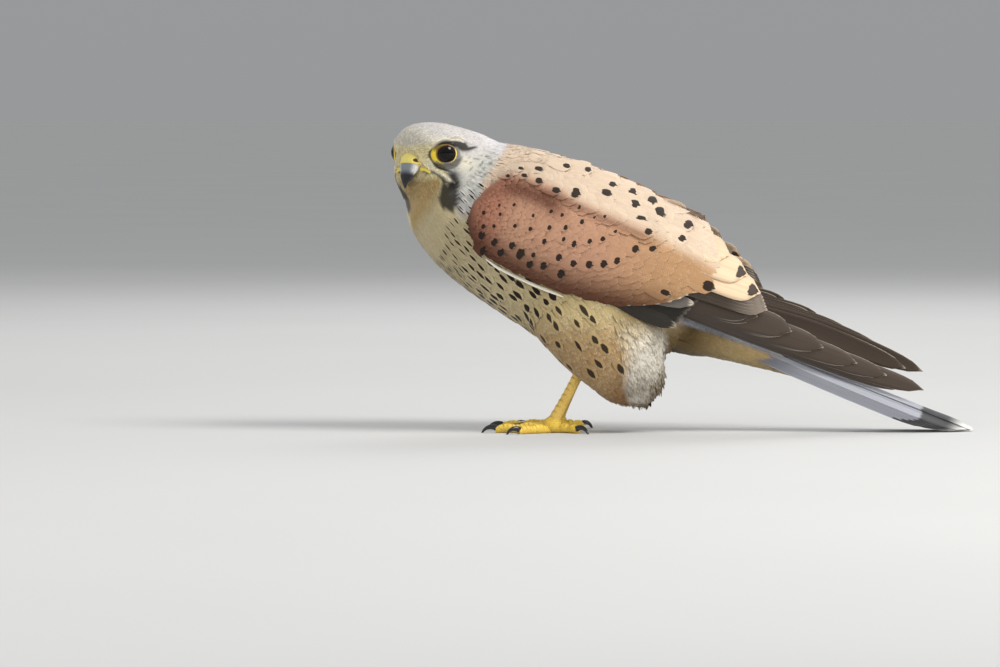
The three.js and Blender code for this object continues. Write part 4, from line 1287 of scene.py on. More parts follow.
def vanes_on(root, tip, width, start, end, shape, columns, tilt=0.0, bow=0.0, fringe=0.0, cup=0.02, lean=0.0,
             rise=0.45):
    """Vanes in a sheet's own coordinates, as u, v and level: straight from root to tip, rising from
    the start level to the end level, with edges tilted, the shaft bowed and the middle arched."""
    run = tip - root
    length = np.linalg.norm(run, axis=-1)
    run = run / length[:, None]
    x, y = flat_vanes(length, width, shape, columns, fringe)
    s = shape[0][None, :, None]
    half = each(width) / 2
    shift = bow * np.sin(np.pi * 0.9 * s) + lean * half * (1 - shape[1][None, :, None])
    (root_u, root_v), (along_u, along_v) = root.T, run.T
    u = each(root_u) + each(along_u) * y - each(along_v) * (x + shift)
    v = each(root_v) + each(along_v) * y + each(along_u) * (x + shift)
    level = each(start) + each(end - start) * np.minimum(1, s / rise)
    level = level + tilt * x - cup * x**2 / half
    return u, v, level


def shells(points, thickness):
    """Closed vanes: each grid of points gets an under side at its thickness, thinning to the tip,
    and the two are joined all round."""
    count, rows, columns = points.shape[:3]
    across = np.gradient(points, axis=2)
    along = np.gradient(points, axis=1)
    out = unit(np.cross(across, along))
    thin = thickness * np.linspace(1, 0.4, rows)[None, :, None, None]
    loop = np.concatenate([points, (points - out * thin)[:, :, ::-1]], axis=2)
    one = grid_faces(rows, 2 * columns, wrap=True)
    k = np.arange(columns - 1)
    root = np.stack([k, k + 1, 2 * columns - 2 - k, 2 * columns - 1 - k], -1)
    tip = (rows - 1) * 2 * columns + root[:, ::-1]
    one = np.vstack([one[:, ::-1], root, tip])
    faces = (one[None] + rows * 2 * columns * np.arange(count)[:, None, None]).reshape(-1, 4)
    return loop, faces


def doubled(values):
    """A map or attribute of the upper side, repeated for the under side in the shell's order."""
    return np.concatenate([values, values[:, :, ::-1]], axis=2)


class Tier:
    """One tier of vanes: roots, tips, widths and levels in the sheet's coordinates, with what the
    feather shader reads. tone is a colour, an array of colours or a function of u and v."""

    def __init__(self, root, tip, width, start, end, tone, mark, trim, **laying):
        self.root, self.tip = np.asarray(root, float), np.asarray(tip, float)
        count = len(self.root)
        full = lambda value: np.broadcast_to(np.asarray(value, float), count)
        self.width, self.start, self.end = full(width), full(start), full(end)
        self.tone = tone
        self.mark = np.broadcast_to(mark, (count, 4))
        self.trim = np.hstack([np.broadcast_to(trim, (count, 3)), random.random((count, 1))])
        self.laying = laying

    def grid(self, columns, **more):
        """Places and levels of all the tier's points on the sheet."""
        return vanes_on(self.root, self.tip, self.width, self.start, self.end, columns=columns,
                        **{**more, **self.laying})

    def colours(self, u, v):
        """Tone, mark and trim for every point of the tier's grids."""
        count, rows, columns = u.shape
        if callable(self.tone):
            tone = self.tone(u, v).reshape(-1, 3)
        else:
            tone = per_point(np.broadcast_to(self.tone, (count, 3)), rows, columns)
        tone = tone * np.repeat(vary(np.ones(count), 0.03), rows * columns)[:, None]
        return np.clip(tone, 0, 1), per_point(self.mark, rows, columns), per_point(self.trim, rows, columns)


# %% [markdown]
# ## Flight feathers
#
# Primaries and secondaries lie lowest, long, stiff and dark with pale edges; over them come the
# tertials. Each is a closed vane, since its edge is seen, and the shader draws shaft and barbs.

# %% Flight feathers
PRIMARY = srgb(72, 61, 52)
SECONDARY = srgb(128, 116, 104)
TERTIAL = srgb(226, 198, 164)
WING_LENGTH = 249

primary_tip_u = through(
    (0, 150), (1, 152), (2, 172), (3, 170), (4, 191), (5, 189), (6, 211), (7, 228), (8, WING_LENGTH),
    (9, 240)
)
primary_tip_v = through((0, 10), (2, 7.5), (4, 5), (6, 3), (8.2, 1.0), (9, -1.5))
pointed = outline(18, (0, 0.45), (0.35, 0.95), (0.8, 1), (0.91, 0.92), (0.955, 0.74), (0.983, 0.5), (1, 0.16),
                  bunch=0.5)
rounded = outline(14, (0, 0.5), (0.35, 0.9), (0.8, 1), (0.9, 0.96), (0.95, 0.78), (0.98, 0.52), (1, 0.2),
                  bunch=0.5)


def flight_tiers():
    """Primaries from inside out, secondaries from the lower edge up, and tertials."""
    i = np.arange(10)
    primaries = Tier(rows_over([60, 9 - 0.8 * i]), rows_over([primary_tip_u(i), primary_tip_v(i)]),
                     15.5 - 0.35 * i, -0.4 - 0.6 * i, -0.4 - 0.6 * i, PRIMARY, PLAIN, (0.7, 0.014, 0.3),
                     bow=-2.4, cup=0.015, shape=pointed)
    i = np.arange(5)
    tone = lambda u, v: blend(PRIMARY, SECONDARY, ease(130, 154, u))
    secondaries = Tier(rows_over([66, 11 + 2.2 * i]), rows_over([155 - 1.1 * i, 12.6 + 1.3 * i]), 11,
                       0.9, 1.5, tone, PLAIN, (0.6, 0.014, 0.15), tilt=-0.16, shape=rounded)
    i = np.arange(3)
    tips = rows_over([through((0, 148.5), (1, 139), (2, 127))(i), 19 + 6.5 * i])
    tip_marks = rows_over([0.56, 0.95, 0.034, 1.0 * (i < 2)])
    tertials = Tier(rows_over([64, 21 + 6.5 * i]), tips, 15, -0.6, 2.6, TERTIAL, tip_marks,
                    (0.6, 0.012, 0.1), tilt=-0.16, shape=rounded)
    return [primaries, secondaries, tertials]


def build_flight(side):
    """One wing's flight feathers as closed vanes, each with a strip of the bake map to itself."""
    points, faces, vane, bake, colours, count, strip = [], [], [], [], [], 0, 0
    for tier in flight_tiers():
        shape = tier.laying["shape"]
        u, v, level = tier.grid(7)
        loop, made = shells(wing_point(side, u, v, level), 0.32)
        maps = doubled(vane_maps(len(tier.root), shape, 7, narrowest=1))
        points.append(loop.reshape(-1, 3))
        faces.append((made[:, ::-1] if side > 0 else made) + count)
        count += len(points[-1])
        vane.append(maps.reshape(-1, 2))
        strips = 0.003 + 0.045 * (strip + np.arange(len(tier.root)))
        bake.append((maps * [0.04, 0.9] + each(rows_over([strips, 0.02]))).reshape(-1, 2))
        strip += len(tier.root)
        colours.append(tier.colours(doubled(u), doubled(v)))
    looks = [np.vstack(values) for values in zip(*colours)]
    feathered("flight_feathers_" + SIDES[side], np.vstack(points), np.vstack(faces), flight_plumage,
              "plumage_wing", np.vstack(vane), np.vstack(bake), looks)


for side in SIDES:
    build_flight(side)

# %% [markdown]
# ## Wing coverts and scapulars
#
# Coverts lie like tiles over the arm: tiny at the front edge, longer towards the rear, where the
# greater coverts overlap the flight feathers. They are chestnut, rufous along the lower edge, with
# a line of white feathers at the very edge. The scapulars flow from the shoulder over the upper
# edge, larger and paler. Dark spots could be drawn on the tiles wherever one happens to lie, but
# then each would be cut off by the next tile. So separate spotted feathers lie over the plain ones.

# %% Coverts and scapulars
LESSER = srgb(184, 140, 112)
WRIST_RED = srgb(172, 116, 92)
GREATER = srgb(176, 137, 98)
LOWER_EDGE = srgb(78, 40, 22)
# a darker rufous with painted shade, for the fold under the scapulars
FOLD_RUFOUS_AND_SHADE = srgb(98, 56, 40)
COVERT_GREY = srgb(38, 35, 30)

cover_level = through((-9, 1.2), (0, 3.0), (20, 4.6), (50, 5.3), (80, 4.6), (100, 3.8), (125, 3.2))
covert_top = through((-9, 16), (-4, 27), (5, 34), (20, 35), (45, 31), (78, 28), (115, 23), (125, 21))
greater_end = through(
    (-13, 66), (-11, 71), (-7.8, 83), (-2, 98), (3, 107.5), (9.4, 115), (12, 119), (20, 124), (30, 120)
)


def dome(share):
    """A rounded section: the root of a half wave, not quite 0 at its ends."""
    return np.sqrt(np.sin(np.pi * (0.03 + 0.94 * share)))


def arm_fullness(u, v):
    """1 over the middle of the arm, falling to the edges as the arm's section does."""
    s = np.clip((v - wing_low(u)) / (wing_high(u) - wing_low(u)), 0, 1)
    return dome(s)


def base_level(u, v):
    """The height of what the coverts lie on. The scapulars' bulge stands over the coverts."""
    bulge = 1.5 * ease(-3, 1, v - covert_top(u)) * window(u, 4, 96, 10)
    return -2 + (cover_level(u) + 2) * arm_fullness(u, v) + bulge


def wing_tone(u, v):
    """Ground colour of coverts and scapulars by their place on the wing, with painted shade in the fold under
    the scapulars.
    """
    over = v - covert_top(u)
    return layered(
        blend(LESSER, WRIST_RED, ease(16, 0, u)),
        (GREATER, ease(52, 104, u)),
        (LOWER_EDGE, 0.92 * ease(20, 1, v - wing_low(u)) * ease(128, 90, u)),
        # painted shade under the scapulars' edge, over a darker rufous: broad at the front, a thin line
        # further back
        (FOLD_RUFOUS_AND_SHADE, 0.92 * stroke(over + 6, 5.5) * window(u, 3, 36, 7)),
        (FOLD_RUFOUS_AND_SHADE, 0.6 * stroke(over + 1.5, 1.8) * window(u, 30, 84, 9)),
        (MANTLE, ease(-2.5, 4.5, over)),
    )


def tile_roots(u_range, row_step, column_step, low, high, loose=0.14):
    """Staggered rows of roots between a lower and an upper line of the sheet."""
    roots, at, row = [], u_range[0], 0
    while at < u_range[1]:
        step = column_step(at)
        v = np.arange(low(at) + step * (0.25 + 0.5 * (row % 2)), high(at), step)
        u = at + loose * row_step(at) * scatter(len(v))
        roots.append(rows_over([u, v + loose * step * scatter(len(v))]))
        at += row_step(at)
        row += 1
    return np.vstack(roots)


# %% Places of the wing's spots
# As (u, v, size) or (u, v, length, width): fine ones scattered in loose rows over the lesser
# coverts, bold ones in two rows above the front edge that climb to the rear, wide ones on the
# scapulars.
FINE_SPOTS = np.array([
    (-1, 12.5, 2.2), (1, 6, 2.7), (5, 18.5, 1.9), (6, 8, 2.2), (7, 14.5, 2), (12, 21, 1.9),
    (16, 11.5, 2.4), (23, 19, 2), (24, 12.5, 2.3), (30, 1, 2.8), (31, 23.5, 2.2), (33, 9, 2.9),
    (33, 16, 2.4), (37, 23.5, 2), (41, 18.5, 2.7), (42, 13, 2.1), (44, 29.5, 2.2), (48, 12.5, 3.2),
    (48, 23.5, 2.7), (53, 27.5, 1.7), (55, 16, 3.1), (58, 29, 1.7), (61, 19, 2.7), (66, 24.5, 2.1)
])
BOLD_SPOTS = np.array([
    (2, 1.5, 4.8), (5, -6, 5.2), (9, 0.5, 4.3), (14, -3, 4.9), (18, 2, 4.1), (24, -0.5, 5.9),
    (30, -4, 4.2), (37, -2.5, 4.4), (43, 4, 4), (47, -3.5, 5), (51, 3.5, 3.7), (59, 5.5, 4.4),
    (66, 8, 3.9), (72, 11.5, 3.6), (79, 19.5, 4), (87, 22.5, 3.9)
])
WIDE_SPOTS = np.array([
    (4, 33.5, 3, 1.6), (9, 39, 3.4, 1.6), (12, 36, 3.8, 2), (18, 41.5, 5.4, 2.3), (20, 35.5, 4.5, 3.1),
    (30, 33.5, 4.6, 3.4), (31, 47, 4.5, 2.2), (40, 35, 5.4, 4.9), (42, 48.5, 4.3, 2.4),
    (55, 40, 5.9, 3.3), (57, 45.5, 4.5, 2.6), (68, 44.5, 5.4, 4.3), (71, 39.5, 5.9, 3.9),
    (77, 33, 6.5, 3.2), (79, 44, 5.4, 3.9), (82, 28.5, 4.1, 3.2), (85, 39.5, 6.5, 5.4),
    (97, 46.5, 5, 2.2), (100, 31.5, 4, 3.2), (101, 38.5, 5.4, 4.3), (101, 4.5, 6.2, 3),
    (121, 14, 6.8, 5.4)
])


# %% Tiers of the wing's coat
def spotted(spots, length_at, slim, slant=0.0, lift=1.05, least=-9.0):
    """A tier of marked feathers that lies over the plain ones and shares their ground colour. Each
    is laid so that its mark, at 0.8 of its length, comes at its own place."""
    length = length_at(spots[:, 0])
    wide = slim * length
    run = rows_over([length, slant * length])
    roots = spots[:, :2] - 0.8 * run
    tip = roots + run
    start = base_level(*roots.T) + 0.1
    end = np.maximum(base_level(*tip.T), least) + lift
    mark = rows_over([vary(spots[:, -1], 0.06) / wide, 0.8, vary(spots[:, 2], 0.06) / 2 / length, 0.97])
    return Tier(roots, tip, wide, start, end, wing_tone, mark, (0.06, 0.04, 0.0), cup=0.04, fringe=0.08)


def lesser_tier():
    """The lesser coverts, from the wrist back to the greater ones' middles."""
    roots = tile_roots((-9, 96), through((-9, 1.6), (20, 2.6), (60, 3.8), (96, 5)),
                       through((-9, 1.7), (20, 2.4), (60, 3.2), (96, 3.8)),
                       lambda u: wing_low(u) + 0.6, lambda u: covert_top(u) + 1)
    reach = through((-9, 6), (20, 9), (60, 14), (96, 20))(roots[:, 0])
    ends = np.minimum(roots[:, 0] + vary(reach, 0.06), greater_end(roots[:, 1]) - 5)
    keep = ends - roots[:, 0] > 4.5
    roots, ends, reach = roots[keep], ends[keep], reach[keep]
    tip = rows_over([ends, roots[:, 1] + 0.03 * reach * scatter(len(reach)) + 0.03 * reach])
    return Tier(roots, tip, 0.44 * reach, base_level(*roots.T) - 0.9, base_level(*tip.T) + 0.6,
                wing_tone, PLAIN, (0.08, 0.03, 0.02), cup=0.03, fringe=0.08)


def row_tiers():
    """The tiers that lie in one row each along the wing's lower part."""
    # greater coverts: broad and long, along their own end line
    v = np.linspace(-9, 23, 12)
    u = greater_end(v)
    yield Tier(rows_over([u - 36, v * 0.9 + 1.5]), rows_over([u, v]), 9.5, 1.2, base_level(u, v) + 0.3,
               wing_tone, (0.5, 0.6, 0.05, 0), (0.4, 0.03, 0.1), tilt=-0.12, cup=0.05, fringe=0.04)
    # primary coverts: dark, below the chestnut edge
    v = np.linspace(-10, 6, 7)
    u = np.interp(v, [-10, 6], [112, 119])
    yield Tier(rows_over([u - 40, v * 0.8]), rows_over([u, v]), 8.4, 0.4, 1.2, COVERT_GREY, PLAIN,
               (0.16, 0.01, 0.1), tilt=-0.12, cup=0.05)
    # two of them stand out with whiter edges: the highest, and the lowest at the wing's rim
    yield Tier([[82, -2], [76, -8.5]], [[117, 3.8], [112.5, -10]], 7.5, 1.0, 1.9,
               [srgb(104, 98, 92), srgb(50, 46, 40)], PLAIN, (0.55, 0.02, 0.1), tilt=-0.1, cup=0.05)
    # the white line of small feathers along the wing's front edge
    u = np.linspace(7, 44, 60)
    low = wing_low(u)
    yield Tier(rows_over([u, low - 1.2]), rows_over([u + 8, wing_low(u + 8) - 1.7]), 0.9,
               base_level(u, low + 0.9) + 0.2, base_level(u, low + 1.5) + 1.3, srgb(242, 236, 220), PLAIN,
               (0.2, 0.1, 0.0))


def scapular_tier():
    """Scapulars: from the shoulder over the upper edge, larger towards the rear."""
    roots = tile_roots((-2, 104), through((-2, 2.2), (30, 4), (104, 6)),
                       through((-2, 2.2), (30, 3.6), (104, 4.4)),
                       lambda u: covert_top(u) - 2.5, lambda u: wing_high(u) + 2.0)
    reach = through((-2, 6), (30, 15), (104, 24))(roots[:, 0])
    slant = np.interp(roots[:, 0], [0, 60, 104], [0.02, -0.12, -0.24])
    tip = roots + rows_over([reach, slant * reach])
    tip[:, 0] = np.minimum(tip[:, 0], 127 - 0.8 * (tip[:, 1] - 22))
    keep = tip[:, 0] - roots[:, 0] > 6
    roots, tip, reach = roots[keep], tip[keep], reach[keep]
    return Tier(roots, tip, 0.46 * reach, base_level(*roots.T) - 0.8,
                np.maximum(base_level(*tip.T), 2.6) + 0.8, wing_tone, PLAIN, (0.1, 0.03, 0.03),
                cup=0.03, fringe=0.08)


def spot_tiers(side):
    """The spotted feathers. On the far wing the highest ones stay under the wing's own edge."""
    yield spotted(FINE_SPOTS, through((-7, 4.5), (20, 7), (60, 8.5)), 0.56)
    yield spotted(BOLD_SPOTS, through((2, 8), (40, 11), (87, 12)), 0.72)
    wide = WIDE_SPOTS.copy()
    wide[:, 1] = np.minimum(wide[:, 1], wing_high(wide[:, 0]) - 5 + 20 * (side > 0))
    yield spotted(wide, through((4, 8), (40, 14), (101, 18)), 0.5, slant=-0.08, lift=1.5, least=2.6)


# %% Both wings' coats
tile = outline(6, (0, 0.5), (0.35, 0.9), (0.7, 1), (0.9, 0.8), (1, 0.35))


def build_coat(side):
    """One wing's coverts and scapulars, and the arm that they lie on."""
    points, vane, bake, colours = [], [], [], []
    for tier in (lesser_tier(), *row_tiers(), scapular_tier(), *spot_tiers(side)):
        u, v, level = tier.grid(5, shape=tile, rise=0.8)
        maps = vane_maps(len(tier.root), tile, 5)
        points.append(wing_point(side, u, v, level))
        vane.append(maps)
        bake.append(bake_maps((tier.root + [20, 25]) / [160, 90], maps))
        colours.append(tier.colours(u, v))
    points = np.vstack(points)
    faces = many_faces(len(points), 6, 5)
    looks = [np.vstack(values) for values in zip(*colours)]
    feathered("wing_coat_" + SIDES[side], points, faces[:, ::-1] if side > 0 else faces, covert_plumage,
              "plumage_wing", np.vstack(vane), np.vstack(bake), looks, ("wing_" + SIDES[side],))

    u = np.linspace(-9, 84, 30)[:, None]
    share = np.linspace(0, 1, 24)[None]
    v = wing_low(u) + 1 + (np.minimum(wing_high(u), covert_top(u) + 16) - wing_low(u) - 2) * share
    u = u + 0 * v
    upper = wing_point(side, u, v, base_level(u, v) - 1.0)
    under = wing_point(side, u, v, -2.5 - 4.5 * dome(share) + 0 * u)
    arm = np.concatenate([upper, under[:, ::-1]], axis=1)
    tones = np.concatenate([wing_tone(u, v)] * 2, axis=1)
    solid("wing_arm_" + SIDES[side], arm, skin_material, "plumage_wing", tones)


for side in SIDES:
    build_coat(side)

# %% [markdown]
# ## Tail
#
# The closed tail is a low roof of twelve feathers, the middle pair on top. They are blue-grey
# with a broad black band before the white tip. One flat plate would do from far away, but from
# near and behind the tips show one by one, so each feather is a vane of its own.

# %% Tail
TAIL_GREY = srgb(160, 162, 170)
TAIL_ROOT_SHADE_GREY = srgb(122, 124, 132)


def tail_point(u, v, n):
    """u back from the root, v across and n up, over a roof that falls to both sides."""
    up = n - 0.45 * np.abs(v)
    c, s = np.cos(TAIL_PITCH), np.sin(TAIL_PITCH)
    x = TAIL_ROOT[0] + u * c + up * s
    z = np.maximum(TAIL_ROOT[2] - u * s + up * c, 0.15)
    return np.stack(np.broadcast_arrays(x, v, z), -1)


tail_shape = outline(18, (0, 0.35), (0.3, 0.8), (0.75, 1), (0.9, 0.92), (0.97, 0.6), (1, 0.25))
length = TAIL_LENGTH - np.array([0, 1, 3, 6, 10, 16])
width = np.array([13.4, 13.8, 14.2, 14.6, 15, 15.4])
points, faces, vane, bake, count = [], [], [], [], 0
for side in SIDES:
    i = np.arange(6)
    off = side * (0.4 + width / 2)
    level = 2.2 - 0.8 * i
    if side > 0:
        # one of the middle pair lies over the other and closes the gap between the halves
        off[0], level[0] = 1.0, 3.0
    u, v, n = vanes_on(rows_over([16, off]), rows_over([length, off]), width, level, level, tail_shape, 7,
                       lean=-side, cup=0.0)
    loop, made = shells(tail_point(u, v, n), 0.35)
    points.append(loop.reshape(-1, 3))
    faces.append(made + count)
    count += len(points[-1])
    maps = doubled(vane_maps(6, tail_shape, 7))
    vane.append(maps.reshape(-1, 2))
    strips = 0.01 + 0.08 * (i + 6 * (side < 0))
    bake.append((maps * [0.07, 0.9] + each(rows_over([strips, 0.02]))).reshape(-1, 2))
points, faces = np.vstack(points), np.vstack(faces)
twelve = np.ones((12, 1))
# painted shade: they darken towards the root, in the shade of the wings' points
tail_tones = blend(TAIL_ROOT_SHADE_GREY + 0 * points, TAIL_GREY, ease(34, 80, tail_coords(points)[0]))
# a mark 60 half widths wide is a band from edge to edge
band = per_point(twelve * [60, 0.885, 0.085, 0.9], 18, 14)
trims = per_point(np.hstack([twelve * [0.9, 0.03, 0.3], np.arange(12)[:, None] / 12]), 18, 14)
feathered("tail_feathers", points, faces, tail_plumage, "plumage_tail", np.vstack(vane), np.vstack(bake),
          (tail_tones, band, trims), ("tail",))

# %% [markdown]
# ## Eyes and lids
#
# A kestrel's eye is so dark that iris and pupil hardly part. What brings it to life is the clear
# front with its glint, and the bare yellow ring of lids, widest in front and below. A glass shell
# over an iris would be truer in depth, but at this size one dark glossy ball looks the same.

# %% Eyes and lids
eye_material, tree, shader = material("dark eye", 0.08, Specular_IOR_Level=0.25)
ground = add(tree, "Attribute", attribute_name="tone")
tree.links.new(ground, shader.inputs["Base Color"])

lid_material = mottled("bare yellow skin", 0.42, 900.0, 0.35, opaque(190, 140, 20), 0.35, 0.00025,
                       Subsurface_Weight=0.15, Subsurface_Scale=0.001)
YELLOW = srgb(238, 208, 52)


def round_axis(middle, axes, height, radius, angle, flat=1):
    """Points at a height along the first axis and a radius round it: angle 0 lies along the second
    axis, and flat scales the third."""
    out, ahead, above = axes
    across, up = radius * np.cos(angle), radius * flat * np.sin(angle)
    return middle + (height + 0 * across)[..., None] * out + across[..., None] * ahead + up[..., None] * above


def eye(side):
    """The ball as rings round the way out, bulged a little at its clear front and drawn in behind
    the lids."""
    middle, *axes = eye_frame(side)
    polar = np.linspace(0.02, np.pi - 0.02, 40)[:, None]
    angle = np.linspace(0, 2 * np.pi, 48, endpoint=False)[None]
    bulge = 1 + 0.035 * ease(0.85, 0.3, polar) - 0.16 * ease(0.8, 1.25, polar)
    r = EYE_RADIUS * 0.985 * bulge
    points = round_axis(middle, axes, r * np.cos(polar), r * np.sin(polar), angle)
    iris = ease(0.5, 0.56, polar + 0 * angle) * ease(1.0, 0.8, polar)
    return points, blend(srgb(6, 5, 6), srgb(32, 18, 11), iris)


def lids(side):
    """A ring of lid: its section is an oval that is wider in front and below. The inner margin and
    the outer rim are dark, and the upper half is darkened to olive as painted shade of the brow."""
    middle, *axes = eye_frame(side)
    angle = np.linspace(0, 2 * np.pi, 96, endpoint=False)[:, None]
    section = np.linspace(0, 2 * np.pi, 24, endpoint=False)[None]
    up, out = np.sin(angle) + 0 * section, np.cos(section) + 0 * angle
    breadth = lid_breadth(np.degrees((angle + np.pi) % (2 * np.pi) - np.pi))
    radius = LID_INSIDE + breadth + breadth * np.cos(section)
    ripple = 0.05 * np.sin(20 * angle + 1.3 * np.sin(3 * angle)) * (out > -0.3)
    height = 4.45 - 0.4 * (radius - 5.2) + (0.32 + ripple) * np.sin(section) + 0.4 * ease(0.1, -0.8, up)
    brow = 0.5 * ease(0.2, 1, up)
    points = round_axis(middle, axes, height + brow, radius, angle, 1 - 0.07 * ease(0, 1, up))
    behind = ease(0.2, -0.6, np.cos(angle)) * ease(0.8, 0.2, up)
    return points, layered(
        YELLOW + 0 * points,
        # painted shade of the brow: the ring's upper half turns dark olive
        (srgb(74, 66, 34), 0.94 * ease(0.1, 0.6, np.sin(angle + 0.1) + 0 * up)),
        (srgb(226, 214, 130), 0.7 * behind),
        (srgb(70, 56, 30), ease(0.8, 1.0, out) * 0.8),
        (srgb(22, 18, 16), ease(-0.2, -0.75, out)),
    )


def tube_along(path, radius, around=28, up=(0, 0, 1), shape=None):
    """Rings carried along a path of points. Each ring stands square to the path; angle 0 is the
    side towards up. shape(row share, angle) adds to the radius."""
    way = unit(np.gradient(path, axis=0))
    side = unit(np.cross(way, np.asarray(up, float)))
    top = np.cross(side, way)
    angle = 2 * np.pi * np.arange(around)[None] / around
    share = np.linspace(0, 1, len(path))[:, None]
    r = radius[:, None] + (shape(share, angle) if shape else 0)
    over, across = (r * np.cos(angle))[..., None], (r * np.sin(angle))[..., None]
    return path[:, None] + over * top[:, None] + across * side[:, None]


def ring_faces(rows, columns):
    """Faces of a grid that closes both ways."""
    i, j = np.meshgrid(np.arange(rows), np.arange(columns), indexing="ij")
    a, b = (i + 1) % rows, (j + 1) % columns
    return np.stack([i * columns + j, i * columns + b, a * columns + b, a * columns + j], -1).reshape(-1, 4)


for side, title in SIDES.items():
    points, tones = eye(side)
    solid("eyeball_" + title, points, eye_material, "eye", tones, ("eye_" + title,))
    points, tones = lids(side)
    faces = ring_faces(96, 24)
    piece("lids_" + title, points, faces[:, ::-1] if side > 0 else faces, lid_material, "bare_yellow_skin",
          colours={"tone": tones})

# %% [markdown]
# ## Bill and cere
#
# The bill's sections turn round the hook, each from the cutting edge up to the ridge. The yellow
# cere wraps its base and holds the round nostrils; the horn is blue-grey and darkens to a black
# tip. The lower bill tucks in under it. Rings from named sections keep ridge and cutting edge
# sharp, where a union of balls and cones would round them off.

# %% Bill and cere
section = np.arange(8)
culmen = np.array([
    [20, 14.4], [23.6, 13.6], [26.2, 11.8], [28.0, 8.9], [29.4, 5.4], [30.8, 1.8], [31.9, -1.6],
    [32.4, -5.0]
])
cutting = np.array([
    [18.5, 3.4], [21.5, 3.3], [24.2, 3.0], [26.4, 1.9], [28.4, 0.3], [30.2, -1.0], [31.4, -2.7],
    [32.2, -4.8]
])
bill_wide = through(*zip(section, [9.0, 8.4, 7.4, 6.4, 5.2, 3.8, 2.1, 0.4]))
lines = [through(*zip(section, values)) for values in (*culmen.T, *cutting.T)]
NOSTRIL = (26.0, 8.6)


def bill_grid(start, end, rows, around=64, grow=0.0, bend=0.0, lead=0.0):
    """Rings of the upper bill between two sections; the tooth dents the cutting edge before the tip.
    A bend carries the last ring further along at the ridge than at the cutting edge, and a lead
    does the same with the first."""
    angle = 2 * np.pi * np.arange(around)[None] / around
    rise = 0.5 + 0.5 * np.cos(angle)
    first, last = start + lead * rise, end + bend * rise
    s = first + (last - first) * np.linspace(0, 1, rows)[:, None]
    lift = np.where(rise < 0.5, rise * 0.8, rise - 0.1 * np.sin(2 * np.pi * (rise - 0.5)) * 0.5)
    top_f, top_u, low_f, low_u = (line(s) for line in lines)
    tooth = 0.7 * stroke(s - 4.9, 0.5) * ease(0.45, 0.1, rise) * np.abs(np.sin(angle)) ** 0.4
    half = bill_wide(s) + grow
    f = low_f + (top_f - low_f) * lift
    u = low_u + (top_u - low_u) * lift - tooth
    low = np.where(rise < 0.5, 0.5, 0)
    return f, half * np.sin(angle) * np.maximum(np.abs(np.sin(angle)), 0.01) ** -low * (1 - 0.12 * rise), u


horn = mottled("bill horn", 0.34, 500.0, 0.25, opaque(60, 64, 76), 0.15, 0.0002, Coat_Weight=0.12)

f, l, u = bill_grid(0, 1.6, 60, 128, 0.25, 1.7)
swell = 0.35 * np.exp(-(((f - 26) / 2.5) ** 2) - ((u - 8) / 3.5) ** 2)
away = np.hypot(f - NOSTRIL[0], u - NOSTRIL[1])
hole = ease(1.2, 0.75, away) * (np.abs(l) > 2)
rim = 0.25 * np.exp(-(((away - 1.6) / 0.4) ** 2))
l = l + np.sign(l) * (swell + rim - 1.3 * hole)
# painted shade: the nostril's hole is dark brown
tones = blend(blend(YELLOW, srgb(252, 238, 138), ease(5, 10, u)), srgb(40, 22, 10), hole)
solid("cere_skin", head_point(f, l, u), lid_material, "bare_yellow_skin", tones, ("cere",))

# the gape's soft ridge: a tube that lies on the face from the cere to the mouth's corner
for side, title in SIDES.items():
    s = np.linspace(0, 1, 40)
    path = head_point(25.0 - 1.3 * s, side * (7.2 + 5.7 * s), 3.7 - 1.4 * s)
    on_face, out = settle(path, 0.5 + 0 * s, steps=4)
    path = path + (on_face - path) * ease(0.0, 0.25, s)[:, None]
    tube = tube_along(path, 1.2 * (1 - 0.5 * s) * ease(1.08, 0.9, s), 20)
    tones = blend(YELLOW + 0 * tube, srgb(240, 222, 116), 0.6)
    solid("gape_" + title, tube, lid_material, "bare_yellow_skin", tones)

# %% Horn of the bill
f, l, u = bill_grid(1.4, 7, 80, 64, lead=1.7)
points = head_point(f, l, u)
rise = 0.5 + 0.5 * np.cos(2 * np.pi * np.arange(64)[None] / 64)
s = 1.4 + 1.7 * rise + (5.6 - 1.7 * rise) * np.linspace(0, 1, 80)[:, None]
# the horn's paler side below the cere, whitened further as a painted highlight
pale_side_and_shine = window(rise, 0.16, 0.8, 0.12) * ease(5.2, 4.0, s)
tones = blend(srgb(140, 146, 150) + 0 * points, srgb(224, 222, 214), 0.9 * pale_side_and_shine)
black = np.maximum(ease(4.0, 5.0, s + 0.9 * (1 - rise)), ease(0.16, 0.06, rise))
tones = blend(tones, srgb(18, 18, 21), black)
solid("bill_horn_upper", points, horn, "bill_horn", tones, ("bill_upper",))

# the lower bill's sections: forward and up of its keel, then of its rim, and its half width
keel_f, keel_u, rim_f, rim_u, lower_wide = (through(*zip(range(5), values)) for values in (
    [17, 20.5, 24, 26.6, 28.4], [-1.2, -1.5, -1.9, -2.0, -1.9], [17, 20.5, 24, 26.4, 28.2],
    [2.8, 2.7, 2.2, 1.0, -0.2], [7.0, 6.0, 4.5, 3.0, 1.2]))
s = np.linspace(0, 4, 40)[:, None]
angle = 2 * np.pi * np.arange(40)[None] / 40
lift = 0.5 + 0.5 * np.cos(angle)
f, u = (low(s) + (high(s) - low(s)) * lift for low, high in ((keel_f, rim_f), (keel_u, rim_u)))
points = head_point(f, lower_wide(s) * np.sin(angle), u)
tones = blend(srgb(196, 176, 110) + 0 * points, srgb(96, 96, 96), ease(2.4, 3.8, s) + 0 * angle)
solid("bill_horn_lower", points, horn, "bill_horn", tones, ("bill_lower",))

